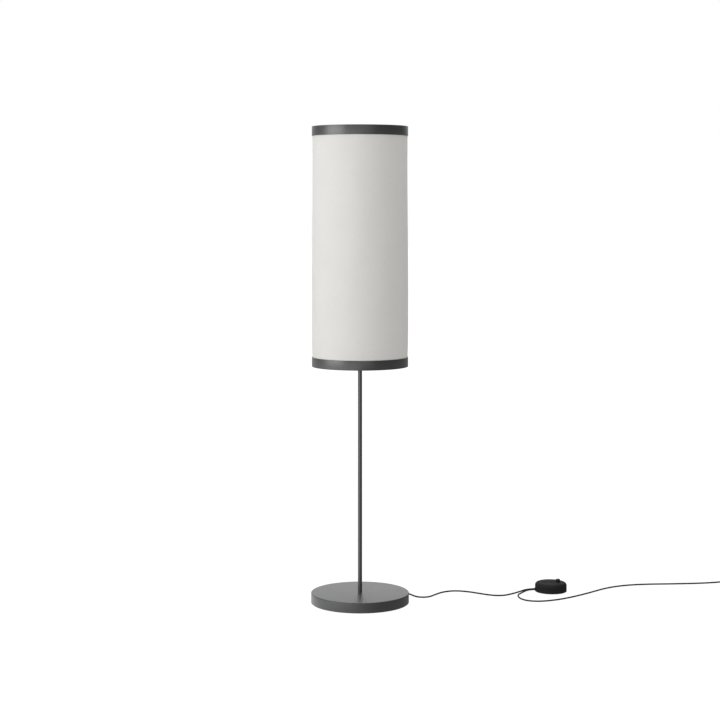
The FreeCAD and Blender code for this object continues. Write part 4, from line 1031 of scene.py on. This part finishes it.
@dataclass
class Base:
    """The steel cover of the weighted base, with what is on it."""

    radius: float = 127.25
    top: float = 27.0
    wall: float = 1.5
    edge: float = 2.0
    low: float = 1.2
    hole: float = 4.4
    gland_height: float = 9.0
    gland_hole: float = 4.3
    drill_in: float = 5.0
    drill_long: float = 10.0
    lip_round: float = 0.4
    screws: CrossScrews = CrossScrews("base_plate_screws", 3, 114.25, 3.5, 1.4, 1.6, 10.0)
    screw_turn: float = 30.0
    screw_low: float = 0.6
    ribs: Ribs = Ribs("cord_gland_ribs", 8, 4.0, 2.85, 2.45)
    ribs_from: float = 4.2

    GLAND = [
        (2.05, -3.3), (5.4, -3.3, 0.4), (5.4, -1.6, 0.3), (3.9, -1.6), (3.9, 0.1), (5.4, 0.1, 0.3),
        (5.4, 1.8, 0.5), (4.2, 2.4, 0.4), (2.55, 24.0, 0.4), (2.05, 24.0),
    ]

    def cover(self) -> None:
        """The cover, with a soft edge and the gland's hole."""
        inside = self.radius - self.wall
        profile = rounded([
            (self.hole, self.top - self.wall), (self.hole, self.top), (self.radius, self.top, self.edge),
            (self.radius, self.low, self.lip_round), (inside, self.low, self.lip_round),
            (inside, self.top - self.wall, self.edge - self.wall)], 7)
        cover = lathe("base_cover_spun", profile, sides=256)
        place = frame_at((0, self.radius - self.drill_in, self.gland_height), (1, 0, 0), (0, 1, 0))
        hole, long = self.gland_hole, self.drill_long
        drill = lathe("drill", [(0, 0), (hole, 0), (hole, long), (0, long)], place, 40)
        dress(carved(cover, drill), "painted_steel", "base_cover")

    def gland(self) -> None:
        """The tapered gland and its ribs."""
        place = frame_at((0, self.radius, self.gland_height), (1, 0, 0), (0, 1, 0))
        dress(lathe("cord_gland_sleeve", rounded(self.GLAND, 4), place, 56), "black_plastic", "cord_gland")
        self.ribs.build(place @ Matrix.Translation((0, 0, self.ribs_from * MM)))

    def closing_screws(self) -> None:
        """The three screws that hold the closing plate."""
        turned = Matrix.Rotation(math.radians(self.screw_turn), 4, "Z")
        self.screws.build(Matrix.Translation((0, 0, self.screw_low * MM)) @ turned, "base_screws")

    def build(self) -> None:
        """Builds the cover, the gland and the screws."""
        self.cover()
        self.gland()
        self.closing_screws()


@dataclass
class Column:
    """The pole between the base and the shade."""

    radius: float = 5.5
    wall: float = 0.9
    low: float = 27.0
    high: float = 618.0

    def build(self) -> None:
        """Builds the pole."""
        inside = self.radius - self.wall
        profile = [(self.radius, self.low), (self.radius, self.high), (inside, self.high), (inside, self.low)]
        dress(lathe("pole_tube", profile, sides=96), "painted_steel", "pole")


@dataclass
class Lampholder:
    """Ribs round the lampholder's cap, for a grip."""

    count: int = 30
    radius: float = 20.4
    low: float = 876.0
    high: float = 884.0
    thick: float = 0.7

    def build(self) -> None:
        """Sets the ribs round the cap."""
        tree = Pattern("holder_cap_ribs")
        number, circle = tree.size("Count", self.count), tree.size("Circle Radius", self.radius)
        rib = tree.bar(tree.size("Rib Length", self.high - self.low), tree.size("Rib Radius", self.thick))
        middle = Matrix.Translation((0, 0, (self.low + self.high) / 2 * MM))
        dress(tree.run(tree.spread(tree.ring(number, circle), rib), "holder_plastic", middle), "holder_plastic")


@dataclass
class Knob:
    """The dimmer's knob, on the slider."""

    place: Point = (530.0, 129.5, 24.9)
    radius: float = 5.5
    top: float = 7.9
    air: float = 0.3
    neck: float = 2.1
    neck_low: float = -5.0
    edge: float = 0.9
    low_edge: float = 0.3
    rim: float = 3.9
    dish: float = 3.4
    dish_deep: float = 0.4

    def build(self) -> None:
        """Builds the cap with its soft rim, on its neck."""
        profile = rounded([
            (0.0, self.neck_low), (self.neck, self.neck_low), (self.neck, self.air),
            (self.radius, self.air, self.low_edge), (self.radius, self.top, self.edge),
            (self.rim, self.top, self.dish_deep), (self.dish, self.top - self.dish_deep, self.dish_deep),
            (0.0, self.top - self.dish_deep)], 6)
        cap = lathe("knob_cap_dished", profile, frame_at(self.place, (1, 0, 0), (0, 0, 1)), 96)
        dress(cap, "knob_plastic", "slider_knob", body="slider")


@dataclass
class Plug:
    """The flat two-pin plug with its strain relief."""

    tip: Point = (1064.64, 145.007, 6.9)
    relief: float = 24.0
    ribs: Ribs = Ribs("plug_relief_ribs", 8, 2.75, 3.95, 2.6)
    ribs_from: float = 2.4

    RELIEF = [(2.05, 0.0), (2.6, 0.0, 0.3), (3.6, 22.0), (4.8, 24.0), (0.0, 24.0), (0.0, 13.0), (2.05, 13.0)]
    SECTIONS = [
        (0.0, 17.0, 9.0, 4.2), (0.5, 20.5, 10.6, 5.0), (1.6, 23.6, 12.0, 5.6), (3.6, 25.6, 13.1, 6.0),
        (7.0, 27.6, 13.6, 6.2), (11.0, 30.4, 13.7, 6.3), (15.0, 33.4, 13.7, 6.3), (18.0, 34.9, 13.7, 6.3),
        (22.0, 35.3, 13.7, 6.3), (34.9, 35.3, 13.7, 6.3), (35.7, 34.9, 13.3, 6.2), (36.0, 34.0, 12.4, 5.8),
    ]

    def build(self) -> None:
        """Builds the plug's body and its relief with ribs."""
        place = frame_at(self.tip, (1, 0, 0), (0, -1, 0))
        dress(lathe("plug_relief_sleeve", rounded(self.RELIEF, 4), place, 56), "black_flex", "plug_relief")
        self.ribs.build(place @ Matrix.Translation((0, 0, self.ribs_from * MM)))
        rings = [pill(wide, deep, corner, self.relief + at, 7) for at, wide, deep, corner in self.SECTIONS]
        dress(skin("plug_shell", rings, place), "black_plastic", "plug_body")


def dress_solids() -> None:
    """Gives every CAD node the material of its slot."""
    for row in FRAME["record"]["subparts"]:
        solid = FRAME["nodes"][row["node"]]
        made = material(row["material_slot"])
        if not solid.material_slots:
            solid.data.materials.append(made)
        for held in solid.material_slots:
            held.material = made
        LOG.info("%s: %s", row["node"], row["material_slot"])


def main() -> None:
    """Builds the camera, the lamp, its cords and the studio, in order."""
    logging.basicConfig(level=logging.INFO, format="%(name)s %(message)s")
    studio = Studio()
    studio.camera()
    dress_solids()
    builders: list[Callable[[], None]] = [
        Shade().build, Base().build, Column().build, Lampholder().build, Knob().build, Plug().build,
        Cords().build, studio.build]
    for build in builders:
        build()


if __name__ == "__main__":
    main()
